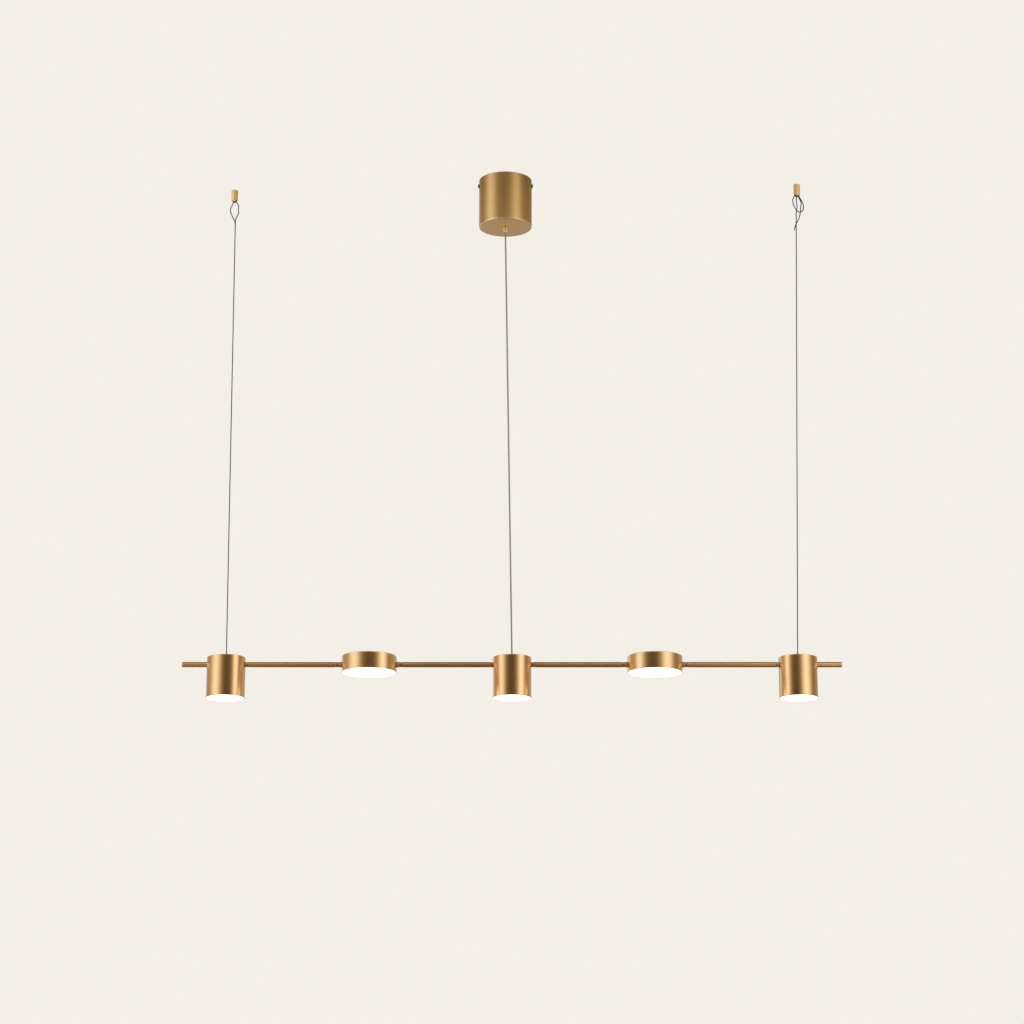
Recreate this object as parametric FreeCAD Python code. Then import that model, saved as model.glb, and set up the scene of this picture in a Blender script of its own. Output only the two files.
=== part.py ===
import FreeCAD, Part

import math
import os

from FreeCAD import Vector

# A linear pendant for a long table. It hangs under a ceiling from two thin steel wires, and a
# supply cord runs down to it from a deep round canopy. The bar carries five light heads: three
# tall spots, and between them two shallow drums that turn on the bar.
#
# Millimetres. X runs along the bar, Z is up, and the origin is the middle of the ceiling strap's
# top face, in the plane of the ceiling. The room's viewer stands on the -Y side.

# How the pieces fit
SLIP = 0.05                     # radial clearance of a pin, thread or seat in its hole
SWIVEL_GAP = 0.3                # between a turning drum and what stays still beside it

# Ceiling canopy, a drawn cup that is open to the ceiling
CANOPY_DIAMETER = 100.0
CANOPY_HEIGHT = 94.0
CANOPY_WALL = 1.2
CANOPY_EDGE = 1.6               # rounding of the lower edge

# Ceiling strap with two ears for the side screws and a tongue for the driver
STRAP_WIDTH = 20.0
STRAP_THICKNESS = 2.0
STRAP_GAP = 0.4                 # between the strap's corners and the canopy's wall
EAR_LENGTH = 18.0
EAR_BOSS = 5.0                  # length of the threaded boss on each ear
TONGUE_LENGTH = 66.0
SLOT_SPACING = 60.0             # between the two slots for the ceiling screws
SLOT_WIDTH = 5.0
SLOT_LENGTH = 12.0
SIDE_SCREW_DROP = 10.0          # ceiling to the axis of the side screws
SIDE_SCREW_DIAMETER = 4.0
SIDE_SCREW_HEAD = 7.6
SIDE_SCREW_HEAD_HEIGHT = 2.4
SMALL_SCREW_DIAMETER = 3.0      # driver, earth, LED board and drum plate screws
SMALL_SCREW_HEAD = 5.6
SMALL_SCREW_HEAD_HEIGHT = 1.8
HEAD_ROUNDING = 0.45            # shares of a screw head's height and width
HEAD_SLOT_DEPTH = 0.4
HEAD_SLOT_WIDTH = 0.14
THREAD_END = 1.5                # how far a thread stands past its nut

# Driver and terminal block, both inside the canopy
DRIVER_WIDTH = 44.0
DRIVER_DEPTH = 22.0
DRIVER_HEIGHT = 50.0
DRIVER_WALL = 1.8
DRIVER_COVER = 2.0
DRIVER_BOSS = 5.4               # its screws go into bosses behind the case's back
DRIVER_BITE = 3.6
CORD_IN_DRIVER = 3.6            # the cord's end above the driver's lower end
BLOCK_WIDTH = 30.0
BLOCK_DEPTH = 15.0
BLOCK_HEIGHT = 12.0
BLOCK_WELL = 5.6
BLOCK_WELL_DEPTH = 5.0
BLOCK_GROOVE = 1.4
BLOCK_GROOVE_DEPTH = 3.0
LEAD_DIAMETER = 1.8
LEAD_DROP = 10.0                # free length of the leads from the block to the driver

# Cord gland under the canopy
GLAND_FLANGE = 11.0
GLAND_FLANGE_HEIGHT = 4.4
GLAND_CAP = 8.0
GLAND_CAP_HEIGHT = 5.6
GLAND_THREAD = 8.0
GLAND_SPIGOT = 5.6
GLAND_NUT = 13.0                # across flats
GLAND_NUT_HEIGHT = 3.0
GLAND_EDGE = 0.8
GLAND_CAP_EDGE = 1.2
MOUTH_EDGE = 0.3                # rounding where the cord leaves a bore

# Supply cord and suspension wires
CORD_DIAMETER = 3.0
CORD_PLAY = 0.2                 # radial room of the cord in its gland and bush
WIRE_DIAMETER = 2.0
WIRE_PLAY = 0.35                # radial room of the wire in its stud
CABLE_DIAMETER = 2.4            # the cable inside the bar

# Ceiling anchors, one for each wire: a cylinder screwed to a ceiling stud
ANCHOR_DIAMETER = 12.0
ANCHOR_LENGTH = 20.5
ANCHOR_MOUTH = 9.2              # the hole in its lower end that takes the wire
ANCHOR_MOUTH_DEPTH = 10.0
ANCHOR_THREAD = 4.2             # minor diameter of the thread in its top
ANCHOR_THREAD_DEPTH = 8.0
ANCHOR_CHAMFER = 1.0
ANCHOR_EDGE = 0.8
ANCHOR_LIP = 3.0                # how far its front and back reach down past the mouth's sides
ANCHOR_LIP_WIDTH = 5.6
ANCHOR_LIP_ROUNDING = 1.4
SET_SCREW_DIAMETER = 4.0
SET_SCREW_RISE = 6.6            # mouth to the axis of the set screw
LEFT_ANCHOR_OUT = 8.5           # how far outside its spot's middle an anchor stands
LEFT_ANCHOR_TOP = -19.0
RIGHT_ANCHOR_OUT = 23.0
RIGHT_ANCHOR_TOP = -7.0

# Bar
BAR_LENGTH = 1200.0
BAR_DIAMETER = 10.0
BAR_DROP = 941.0                # ceiling to the bar's axis
BAR_OFFSET = 12.5               # the bar hangs this far to the right of the canopy
STUB_LENGTH = 45.0              # from the side of an outer spot to the end of the bar
NIPPLE_DIAMETER = 7.0
NIPPLE_BORE = 4.4
NIPPLE_IN_TUBE = 12.0
NUT_ACROSS = 10.0
NUT_HEIGHT = 3.0
NECK_DIAMETER = 9.2
NECK_LENGTH = 6.0
PLUG_HEIGHT = 1.5
PLUG_SPIGOT = 4.0

# Swivel at each side of a drum: a ring against the drum, then a collar on the nipple
RING_DIAMETER = 10.6
RING_LENGTH = 3.6
RING_EDGE = 1.2
COLLAR_LENGTH = 7.4
COLLAR_CHAMFER = 0.6
WASHER_DIAMETER = 12.0
WASHER_HEIGHT = 1.0

# Spots, the three tall heads
SPOT_DIAMETER = 70.0
SPOT_HEIGHT = 75.0
SPOT_AXIS_DROP = 13.0           # top of a spot to the bar's axis
SPOT_TOP = 1.5
SPOT_EDGE = 1.0
REFLECTOR_HEIGHT = 24.0
REFLECTOR_WALL = 1.0
SPOT_BOARD_DIAMETER = 40.0
SINK_BASE = 4.0
SINK_FIN = 1.6
SINK_FIN_PITCH = 6.0
SINK_CLEARANCE = 3.0            # fins to the lock nuts
SINK_HOLE = 10.0                # the cable's way down through the fins
SINK_BITE = 3.2                 # the board's screws in the base
SPOT_SCREW_OFFSET = 14.5
SPOT_CHIP_RING = 8.5
SPOT_CHIPS = 8

# Drums, the two shallow heads
DRUM_DIAMETER = 100.0
DRUM_HEIGHT = 30.0
DRUM_TOP = 1.5
DRUM_EDGE = 1.4
DRUM_PLATE = 1.5
DRUM_PLATE_CLEARANCE = 0.8      # plate to the corners of the lock nuts
DRUM_POST = 6.0
DRUM_POST_RING = 40.0
DRUM_POSTS = 3
DRUM_SCREW_HOLE = 12.0
DRUM_BITE = 9.0                 # the plate's screws in the posts
DRUM_BOARD_DIAMETER = 92.0
DRUM_CHIP_RINGS = ((15.0, 6), (27.0, 12), (37.0, 18))
DRUM_LEAD_OFFSET = 9.0

# Common to both kinds of head
HEAD_WALL = 1.2
DIFFUSER_THICKNESS = 2.2
DIFFUSER_RECESS = 0.25          # lower rim to the diffuser's face
DIFFUSER_SNAP = 0.25            # depth of the groove that the diffuser snaps into
BOARD_THICKNESS = 1.2
CHIP_SIZE = 3.0
CHIP_HEIGHT = 0.7

# Small turned parts in the tops of the spots
STUD_HEAD = 8.0
STUD_HEAD_HEIGHT = 5.0
STUD_THREAD = 5.0
STUD_NUT = 8.0
STUD_NUT_HEIGHT = 2.5
STUD_BORE_DEPTH = 4.0
STUD_EDGE = 1.2
BUSH_HEAD = 12.0
BUSH_HEAD_HEIGHT = 4.0
BUSH_EDGE = 1.4
BUSH_THREAD = 7.0
BUSH_THREAD_LENGTH = 5.0
SPLICE_LENGTH = 14.0
SPLICE_WIDTH = 10.0
SPLICE_HEIGHT = 8.0

# Worked out from the sizes above
UP = Vector(0, 0, 1)
ALONG = Vector(1, 0, 0)
BACK = Vector(0, 1, 0)
BAR_Z = -BAR_DROP
GLAND_TOP = -CANOPY_HEIGHT
FLANGE_BOTTOM = GLAND_TOP - GLAND_FLANGE_HEIGHT
GLAND_MOUTH = FLANGE_BOTTOM - GLAND_CAP_HEIGHT
CANOPY_INNER = CANOPY_DIAMETER / 2 - CANOPY_WALL
CANOPY_FLOOR = -CANOPY_HEIGHT + CANOPY_WALL
HEAD_SPACING = (BAR_LENGTH / 2 - STUB_LENGTH - SPOT_DIAMETER / 2) / 2
STRAP_HALF = math.sqrt((CANOPY_INNER - STRAP_GAP) ** 2 - (STRAP_WIDTH / 2) ** 2)
TONGUE_FRONT = STRAP_WIDTH / 2 - STRAP_THICKNESS
BLOCK_BOTTOM = -STRAP_THICKNESS - BLOCK_HEIGHT
BLOCK_PITCH = BLOCK_WIDTH / 3
DRIVER_TOP = BLOCK_BOTTOM - LEAD_DROP
DRIVER_BOTTOM = DRIVER_TOP - DRIVER_HEIGHT
NUT_CORNER = NUT_ACROSS / 2 / math.cos(math.pi / 6)
NIPPLE_HOLE = NIPPLE_DIAMETER / 2 + SLIP
SPOT_INNER = SPOT_DIAMETER / 2 - HEAD_WALL
DRUM_INNER = DRUM_DIAMETER / 2 - HEAD_WALL
SPOT_Z = BAR_Z + SPOT_AXIS_DROP
SPOT_BOTTOM = SPOT_Z - SPOT_HEIGHT
DRUM_Z = BAR_Z + DRUM_HEIGHT / 2
SPOT_NECK_END = SPOT_DIAMETER / 2 + NECK_LENGTH
RING_START = DRUM_DIAMETER / 2 + SWIVEL_GAP
COLLAR_START = RING_START + RING_LENGTH
DRUM_NECK_END = COLLAR_START + COLLAR_LENGTH
SPOT_NUT_FACE = math.sqrt(SPOT_INNER ** 2 - NUT_CORNER ** 2) - SLIP
WASHER_FACE = math.sqrt(DRUM_INNER ** 2 - (WASHER_DIAMETER / 2) ** 2) - SWIVEL_GAP
DRUM_NUT_FACE = WASHER_FACE - WASHER_HEIGHT
SPOT_X = {"left": BAR_OFFSET - 2 * HEAD_SPACING, "middle": BAR_OFFSET,
          "right": BAR_OFFSET + 2 * HEAD_SPACING}
DRUM_X = {"left": BAR_OFFSET - HEAD_SPACING, "right": BAR_OFFSET + HEAD_SPACING}
LEFT_ANCHOR_X = SPOT_X["left"] - LEFT_ANCHOR_OUT
RIGHT_ANCHOR_X = SPOT_X["right"] + RIGHT_ANCHOR_OUT
SINK_TOP = BAR_Z - NUT_CORNER - SINK_CLEARANCE
DIFFUSER_RISE = DIFFUSER_RECESS + DIFFUSER_THICKNESS
SINK_BOTTOM = SPOT_BOTTOM + DIFFUSER_RISE + REFLECTOR_HEIGHT
PLATE_TOP = BAR_Z - NUT_CORNER - DRUM_PLATE_CLEARANCE
PLATE_BOTTOM = PLATE_TOP - DRUM_PLATE
STUD_TOP = SPOT_Z + STUD_HEAD_HEIGHT
BUSH_TOP = SPOT_Z + BUSH_HEAD_HEIGHT

# The loops that tie each wire to its anchor, as points along the wire's middle: across, back and
# down from the middle of the anchor's mouth. Each starts where the wire comes up from below.
LEFT_START = 2.7
LEFT_LOOP = (
    (2.7, 0.0, -50.0), (2.3, 0.0, -39.5), (5.6, 0.0, -31.5), (8.9, 0.0, -25.4),
    (7.5, 0.0, -19.5), (8.5, 0.0, -12.5), (6.6, 0.0, -6.6), (2.6, 0.0, -1.4), (2.0, 0.0, 3.5),
    (2.0, 0.0, 8.7), (-2.0, 0.0, 8.7), (-2.0, 0.0, -2.0),
    (-3.8, 0.0, -9.0), (-7.4, 0.0, -14.6), (-7.5, 0.0, -21.0), (-5.2, 0.3, -28.0),
    (-2.2, 1.4, -34.6), (0.8, 2.7, -39.6), (2.2, 2.8, -45.6), (2.5, 2.7, -52.0))
RIGHT_START = -3.2
RIGHT_LOOP = (
    (-3.2, 0.0, -70.0), (-2.6, 0.4, -52.0), (-2.0, 1.4, -34.0), (0.3, 1.5, -25.6),
    (-1.1, 0.7, -15.0), (-1.3, 0.0, -5.0), (0.2, 0.0, 3.0), (0.2, 0.0, 8.7),
    (-3.3, 0.0, 8.7), (-3.3, 0.0, 2.0), (-3.9, -0.6, -2.2), (-8.0, -1.0, -7.6),
    (-8.6, -1.3, -15.0), (-6.0, -1.4, -24.6), (-1.4, -1.4, -32.6), (4.0, -1.3, -36.6),
    (9.6, -1.0, -33.8), (12.6, -0.6, -26.0), (10.8, -0.3, -16.8), (7.2, 0.0, -9.0),
    (3.3, 0.0, -2.4), (3.3, 0.0, 2.6), (1.3, 2.8, 2.6), (2.7, 2.2, -3.2),
    (6.4, 2.8, -9.6), (8.6, 2.8, -16.0), (6.8, 2.4, -24.0), (6.0, 2.1, -35.4),
    (3.9, 2.4, -44.0), (1.0, 2.8, -51.6), (-2.6, 3.1, -58.0), (-6.0, 1.9, -66.0),
    (-6.0, 1.3, -71.5))
RUN_SHARE = 0.45                # how much of the shorter run a bend takes

NODES = {}


def add(name, *solids):
    NODES[name] = solids[0] if len(solids) == 1 else Part.makeCompound(list(solids))


def rod(radius, start, length, axis=UP):
    return Part.makeCylinder(radius, length, start, axis)


def tube(outer, inner, start, length, axis=UP):
    return rod(outer, start, length, axis).cut(rod(inner, start, length, axis))


def block(low, high):
    size = high - low
    return Part.makeBox(size.x, size.y, size.z, low)


def prism(across, height, start, axis=UP):
    """A hexagon bar: across its flats, from start along axis."""
    corner = across / 2 / math.cos(math.pi / 6)
    points = []
    for step in range(7):
        angle = step * math.pi / 3
        points.append(Vector(corner * math.cos(angle), corner * math.sin(angle), 0))
    solid = Part.Face(Part.makePolygon(points)).extrude(UP * height)
    solid.Placement = FreeCAD.Placement(start, FreeCAD.Rotation(UP, axis))
    return solid


def nut(across, hole, height, start, axis=UP):
    return prism(across, height, start, axis).cut(rod(hole, start, height, axis))


def pan_screw(shank, head, head_height, length, seat, axis):
    """A screw whose shank runs from seat along axis, with its rounded head behind the seat."""
    cap = rod(head / 2, seat - axis * head_height, head_height, axis)
    rim = [edge for edge in cap.Edges
           if edge.Curve.TypeId == "Part::GeomCircle"
           and (edge.Curve.Center - seat).Length > head_height / 2]
    cap = cap.makeFillet(head_height * HEAD_ROUNDING, rim)
    cap = cap.cut(driver_slot(head, head_height, seat, axis))
    return cap.fuse(rod(shank / 2, seat, length, axis)).removeSplitter()


def driver_slot(head, head_height, seat, axis):
    """The slot across a screw's head."""
    across = Vector(0, 1, 0) if abs(axis.y) < 0.5 else Vector(1, 0, 0)
    side = axis.cross(across)
    width = head * HEAD_SLOT_WIDTH
    depth = head_height * HEAD_SLOT_DEPTH
    outer = seat - axis * head_height
    corner = outer - across * head / 2 - side * width / 2
    face = Part.Face(Part.makePolygon([
        corner, corner + across * head, corner + across * head + side * width,
        corner + side * width, corner]))
    return face.extrude(axis * depth)


def bend(before, at, after, reach):
    """Where an arc that rounds a corner starts, is half way and ends, and its radius."""
    back = (before - at).normalize()
    ahead = (after - at).normalize()
    half = back.getAngle(ahead) / 2
    radius = reach * math.tan(half)
    middle = (back + ahead).normalize()
    halfway = at + middle * (reach / math.cos(half) - radius)
    return at + back * reach, halfway, at + ahead * reach, radius


def turned(profile, place):
    """A body turned about a vertical axis, from its half section: radius, height, rounding."""
    count = len(profile)
    points = [Vector(radius, 0, height) for radius, height, _ in profile]
    edges = []
    last = None
    first = None
    for index in range(count):
        at = points[index]
        rounding = profile[index][2]
        start = end = at
        if rounding > 0:
            before = points[index - 1]
            after = points[(index + 1) % count]
            half = (before - at).getAngle(after - at) / 2
            start, halfway, end, _ = bend(before, at, after, rounding / math.tan(half))
        if last is not None:
            edges.append(Part.LineSegment(last, start).toShape())
        else:
            first = start
        if rounding > 0:
            edges.append(Part.Arc(start, halfway, end).toShape())
        last = end
    edges.append(Part.LineSegment(last, first).toShape())
    solid = Part.Face(Part.Wire(edges)).revolve(Vector(0, 0, 0), UP, 360)
    solid.translate(place)
    return solid


def gap_to_itself(wire, diameter, step=0.6):
    """The least gap between two stretches of one tube that aren't next to each other."""
    count = int(wire.Length / step)
    points = wire.discretize(Number=count)
    apart = int(3 * diameter / step)
    least = min((points[low] - points[high]).Length
                for low in range(count) for high in range(low + apart, count))
    return least - diameter


def bent_tube(name, points, diameter):
    """A round tube along straight runs that are joined by tangent arcs."""
    edges = []
    radii = []
    last = points[0]
    for before, at, after in zip(points, points[1:], points[2:]):
        reach = RUN_SHARE * min((at - before).Length, (after - at).Length)
        start, halfway, end, radius = bend(before, at, after, reach)
        edges.append(Part.LineSegment(last, start).toShape())
        edges.append(Part.Arc(start, halfway, end).toShape())
        radii.append(radius)
        last = end
    edges.append(Part.LineSegment(last, points[-1]).toShape())
    wire = Part.Wire(edges)
    ring = Part.Wire(Part.makeCircle(diameter / 2, points[0], points[1] - points[0]))
    solid = wire.makePipeShell([ring], True, False)
    expected = math.pi * (diameter / 2) ** 2 * wire.Length
    print(f"{name}: length {wire.Length:.1f}, radii {[round(radius, 1) for radius in radii]}, "
          f"volume over section times length {solid.Volume / expected:.4f}")
    return solid, wire


def straight_line(name, top, bottom, diameter):
    """A taut cord: one straight run with level ends."""
    ring = Part.Face(Part.Wire(Part.makeCircle(diameter / 2, top, UP)))
    solid = ring.extrude(bottom - top)
    expected = math.pi * (diameter / 2) ** 2 * abs(bottom.z - top.z)
    print(f"{name}: length {(bottom - top).Length:.1f}, no bend, "
          f"volume over section times length {solid.Volume / expected:.4f}")
    return solid


def canopy_cup():
    outer = CANOPY_DIAMETER / 2
    cup = turned([
        (0, -CANOPY_HEIGHT, 0), (outer, -CANOPY_HEIGHT, CANOPY_EDGE), (outer, 0, 0),
        (CANOPY_INNER, 0, 0), (CANOPY_INNER, CANOPY_FLOOR, 0), (0, CANOPY_FLOOR, 0)],
        Vector(0, 0, 0))
    gland_hole = rod(GLAND_THREAD / 2 + SLIP, Vector(0, 0, -CANOPY_HEIGHT), CANOPY_WALL)
    side_hole = rod(SIDE_SCREW_DIAMETER / 2 + SLIP, Vector(-outer, 0, -SIDE_SCREW_DROP),
                    CANOPY_DIAMETER, ALONG)
    return cup.cut(gland_hole).cut(side_hole)


def slot_hole(x):
    """One slot through the strap, along X."""
    reach = SLOT_LENGTH / 2 - SLOT_WIDTH / 2
    low = Vector(x - reach, -SLOT_WIDTH / 2, -STRAP_THICKNESS)
    slot = block(low, Vector(x + reach, SLOT_WIDTH / 2, 0))
    for end in (x - reach, x + reach):
        slot = slot.fuse(rod(SLOT_WIDTH / 2, Vector(end, 0, -STRAP_THICKNESS), STRAP_THICKNESS))
    return slot


def driver_screw_heights():
    """The driver's two screws stand a quarter of its height in from its ends."""
    return (DRIVER_TOP - DRIVER_HEIGHT / 4, DRIVER_BOTTOM + DRIVER_HEIGHT / 4)


def earth_screw_x():
    """The earth screw sits between the terminal block and the left slot."""
    return -(BLOCK_WIDTH / 2 + SLOT_SPACING / 2 - SLOT_LENGTH / 2) / 2


def ceiling_bracket():
    half = STRAP_WIDTH / 2
    strap = block(Vector(-STRAP_HALF, -half, -STRAP_THICKNESS), Vector(STRAP_HALF, half, 0))
    for side in (-1, 1):
        outer = side * STRAP_HALF
        inner = side * (STRAP_HALF - STRAP_THICKNESS)
        ear = block(Vector(min(outer, inner), -half, -EAR_LENGTH),
                    Vector(max(outer, inner), half, 0))
        boss = rod(SIDE_SCREW_DIAMETER, Vector(outer, 0, -SIDE_SCREW_DROP),
                   EAR_BOSS, ALONG * -side)
        strap = strap.fuse(ear).fuse(boss)
    tongue = block(Vector(-half, TONGUE_FRONT, -TONGUE_LENGTH), Vector(half, half, 0))
    strap = strap.fuse(tongue).removeSplitter()
    strap = strap.cut(rod(SIDE_SCREW_DIAMETER / 2 + SLIP, Vector(-STRAP_HALF, 0, -SIDE_SCREW_DROP),
                          2 * STRAP_HALF, ALONG))
    for x in (-SLOT_SPACING / 2, SLOT_SPACING / 2):
        strap = strap.cut(slot_hole(x))
    small_hole = SMALL_SCREW_DIAMETER / 2 + SLIP
    strap = strap.cut(rod(small_hole, Vector(earth_screw_x(), 0, -STRAP_THICKNESS),
                          STRAP_THICKNESS))
    for z in driver_screw_heights():
        strap = strap.cut(rod(small_hole, Vector(0, TONGUE_FRONT, z), STRAP_THICKNESS, BACK))
    return strap


def side_screws():
    screws = []
    for side in (-1, 1):
        seat = Vector(side * CANOPY_DIAMETER / 2, 0, -SIDE_SCREW_DROP)
        reach = CANOPY_DIAMETER / 2 - STRAP_HALF + EAR_BOSS
        screws.append(pan_screw(SIDE_SCREW_DIAMETER, SIDE_SCREW_HEAD, SIDE_SCREW_HEAD_HEIGHT,
                                reach, seat, ALONG * -side))
    return screws


def bracket_screws():
    """Two screws through the tongue into the driver's case, and the earth screw."""
    screws = []
    for z in driver_screw_heights():
        screws.append(small_screw(Vector(0, STRAP_WIDTH / 2, z), BACK * -1,
                                  STRAP_THICKNESS + DRIVER_BITE))
    screws.append(small_screw(Vector(earth_screw_x(), 0, -STRAP_THICKNESS), UP,
                              STRAP_THICKNESS))
    return screws


def small_screw(seat, axis, length):
    return pan_screw(SMALL_SCREW_DIAMETER, SMALL_SCREW_HEAD, SMALL_SCREW_HEAD_HEIGHT, length,
                     seat, axis)


def terminal_block():
    """Three poles, each with a screw well in its front, and a groove between two poles."""
    front = TONGUE_FRONT - BLOCK_DEPTH
    body = block(Vector(-BLOCK_WIDTH / 2, front, BLOCK_BOTTOM),
                 Vector(BLOCK_WIDTH / 2, TONGUE_FRONT, -STRAP_THICKNESS))
    for x in (-BLOCK_PITCH, 0, BLOCK_PITCH):
        well = Vector(x, front, BLOCK_BOTTOM + BLOCK_HEIGHT / 2)
        body = body.cut(rod(BLOCK_WELL / 2, well, BLOCK_WELL_DEPTH, BACK))
    for x in (-BLOCK_PITCH / 2, BLOCK_PITCH / 2):
        low = Vector(x - BLOCK_GROOVE / 2, front, BLOCK_BOTTOM)
        groove = Vector(BLOCK_GROOVE, BLOCK_GROOVE_DEPTH, BLOCK_HEIGHT)
        body = body.cut(block(low, low + groove))
    return body


def mains_leads():
    """Two leads from the block down to the driver, and the earth lead to its screw."""
    leads = []
    for x in (0, BLOCK_PITCH):
        leads.append(rod(LEAD_DIAMETER / 2, Vector(x, 0, DRIVER_TOP), LEAD_DROP))
    side = -BLOCK_WIDTH / 2
    head = -STRAP_THICKNESS - SMALL_SCREW_HEAD_HEIGHT
    low = BLOCK_BOTTOM + BLOCK_HEIGHT / 3
    earth, _ = bent_tube("earth lead", [
        Vector(side, 0, low), Vector(earth_screw_x(), 0, low), Vector(earth_screw_x(), 0, head)],
        LEAD_DIAMETER)
    return leads + [earth]


def driver_case():
    """A box that is open to the front, with a boss behind each of its screws."""
    back = TONGUE_FRONT
    front = back - DRIVER_DEPTH + DRIVER_COVER
    half = DRIVER_WIDTH / 2
    case = block(Vector(-half, front, DRIVER_BOTTOM), Vector(half, back, DRIVER_TOP))
    hollow = block(Vector(-half + DRIVER_WALL, front, DRIVER_BOTTOM + DRIVER_WALL),
                   Vector(half - DRIVER_WALL, back - DRIVER_WALL, DRIVER_TOP - DRIVER_WALL))
    case = case.cut(hollow)
    for z in driver_screw_heights():
        boss = rod(SMALL_SCREW_DIAMETER, Vector(0, back - DRIVER_BOSS, z), DRIVER_BOSS, BACK)
        hole = rod(SMALL_SCREW_DIAMETER / 2 + SLIP, Vector(0, back - DRIVER_BITE, z),
                   DRIVER_BITE, BACK)
        case = case.fuse(boss).cut(hole)
    cord_hole = rod(CORD_DIAMETER / 2 + CORD_PLAY, Vector(0, 0, DRIVER_BOTTOM), DRIVER_WALL)
    return case.cut(cord_hole).removeSplitter()


def driver_cover():
    """A plate with a low rim that plugs into the open front of the case."""
    back = TONGUE_FRONT - DRIVER_DEPTH + DRIVER_COVER
    half = DRIVER_WIDTH / 2
    plate = block(Vector(-half, back - DRIVER_COVER, DRIVER_BOTTOM),
                  Vector(half, back, DRIVER_TOP))
    inset = DRIVER_WALL + SLIP
    low = Vector(-half + inset, back, DRIVER_BOTTOM + inset)
    high = Vector(half - inset, back + DRIVER_COVER, DRIVER_TOP - inset)
    wall = Vector(DRIVER_WALL, 0, DRIVER_WALL)
    rim = block(low, high).cut(block(low + wall, high - wall))
    return plate.fuse(rim).removeSplitter()


def gland_parts():
    """The flanged body through the canopy's floor, its nut inside and the cap below."""
    bore = CORD_DIAMETER / 2 + CORD_PLAY
    thread = GLAND_THREAD / 2
    top = CANOPY_FLOOR + GLAND_NUT_HEIGHT + THREAD_END
    spigot = FLANGE_BOTTOM - GLAND_CAP_HEIGHT / 2
    body = turned([
        (bore, spigot, 0), (GLAND_SPIGOT / 2, spigot, 0), (GLAND_SPIGOT / 2, FLANGE_BOTTOM, 0),
        (GLAND_FLANGE / 2, FLANGE_BOTTOM, GLAND_EDGE), (GLAND_FLANGE / 2, GLAND_TOP, 0),
        (thread, GLAND_TOP, 0), (thread, top, 0), (bore, top, 0)], Vector(0, 0, 0))
    socket = GLAND_SPIGOT / 2 + SLIP
    cap = turned([
        (bore, GLAND_MOUTH, MOUTH_EDGE), (GLAND_CAP / 2, GLAND_MOUTH, GLAND_CAP_EDGE),
        (GLAND_CAP / 2, FLANGE_BOTTOM, 0), (socket, FLANGE_BOTTOM, 0), (socket, spigot, 0),
        (bore, spigot, 0)], Vector(0, 0, 0))
    locknut = nut(GLAND_NUT, thread + SLIP, GLAND_NUT_HEIGHT, Vector(0, 0, CANOPY_FLOOR))
    return body, cap, locknut


def anchor_mouth(top):
    return top - ANCHOR_LENGTH


def anchor_lips(x, low):
    """What stays of the cylinder below the mouth's sides, before the mouth is taken out of it."""
    side = ANCHOR_LIP_WIDTH / 2
    reach = ANCHOR_DIAMETER / 2
    bar = block(Vector(x - side, -reach, low - ANCHOR_LIP), Vector(x + side, reach, low))
    corners = [edge for edge in bar.Edges
               if abs(edge.CenterOfMass.z - bar.BoundBox.ZMin) < SLIP
               and abs(edge.CenterOfMass.x - x) > side / 2]
    return bar.makeFillet(ANCHOR_LIP_ROUNDING, corners)


def ceiling_anchor(x, top):
    """A cylinder with a threaded hole in its top, and a wide mouth for the wire between two lips."""
    outer = ANCHOR_DIAMETER / 2
    low = anchor_mouth(top)
    mouth = ANCHOR_MOUTH / 2
    thread = ANCHOR_THREAD / 2
    body = turned([
        (mouth, -ANCHOR_LIP, 0), (outer - ANCHOR_CHAMFER, -ANCHOR_LIP, 0),
        (outer, ANCHOR_CHAMFER - ANCHOR_LIP, 0),
        (outer, ANCHOR_LENGTH, ANCHOR_EDGE), (thread, ANCHOR_LENGTH, 0),
        (thread, ANCHOR_LENGTH - ANCHOR_THREAD_DEPTH, 0),
        (0, ANCHOR_LENGTH - ANCHOR_THREAD_DEPTH, 0), (0, ANCHOR_MOUTH_DEPTH, 0),
        (mouth, ANCHOR_MOUTH_DEPTH, 0)], Vector(x, 0, low))
    whole = rod(outer, Vector(x, 0, low), ANCHOR_LENGTH)
    body = body.common(whole.fuse(anchor_lips(x, low)))
    return body.cut(rod(SET_SCREW_DIAMETER / 2 + SLIP, Vector(x, 0, low + SET_SCREW_RISE),
                        outer, BACK)).removeSplitter()


def set_screw(x, top):
    """It presses the wire from behind, and has a hexagon socket in its outer end."""
    start = WIRE_DIAMETER / 2 + SLIP
    length = ANCHOR_DIAMETER / 2 - start
    seat = Vector(x, start, anchor_mouth(top) + SET_SCREW_RISE)
    socket = prism(SET_SCREW_DIAMETER / 2, length / 3, seat + BACK * (length * 2 / 3), BACK)
    return rod(SET_SCREW_DIAMETER / 2, seat, length, BACK).cut(socket)


def wire_loop(name, x, top, start, offsets):
    """The stretch of wire above the swing's level: up, through the anchor and back down."""
    mouth = Vector(x, 0, anchor_mouth(top))
    points = [Vector(x + start, 0, GLAND_MOUTH)]
    points += [mouth + Vector(*offset) for offset in offsets]
    solid, wire = bent_tube(name, points, WIRE_DIAMETER)
    print(f"{name}: least gap to itself {gap_to_itself(wire, WIRE_DIAMETER):.2f}")
    return solid


def spot_shell(x, top_hole):
    """A cup with its mouth down, a groove for the diffuser and a hole at each side."""
    outer = SPOT_DIAMETER / 2
    shell = head_cup(outer, SPOT_HEIGHT, SPOT_TOP, SPOT_EDGE, Vector(x, 0, SPOT_BOTTOM))
    shell = shell.cut(rod(top_hole, Vector(x, 0, SPOT_Z - SPOT_TOP), SPOT_TOP))
    return shell.cut(rod(NIPPLE_HOLE, Vector(x - outer, 0, BAR_Z), SPOT_DIAMETER, ALONG))


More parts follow.
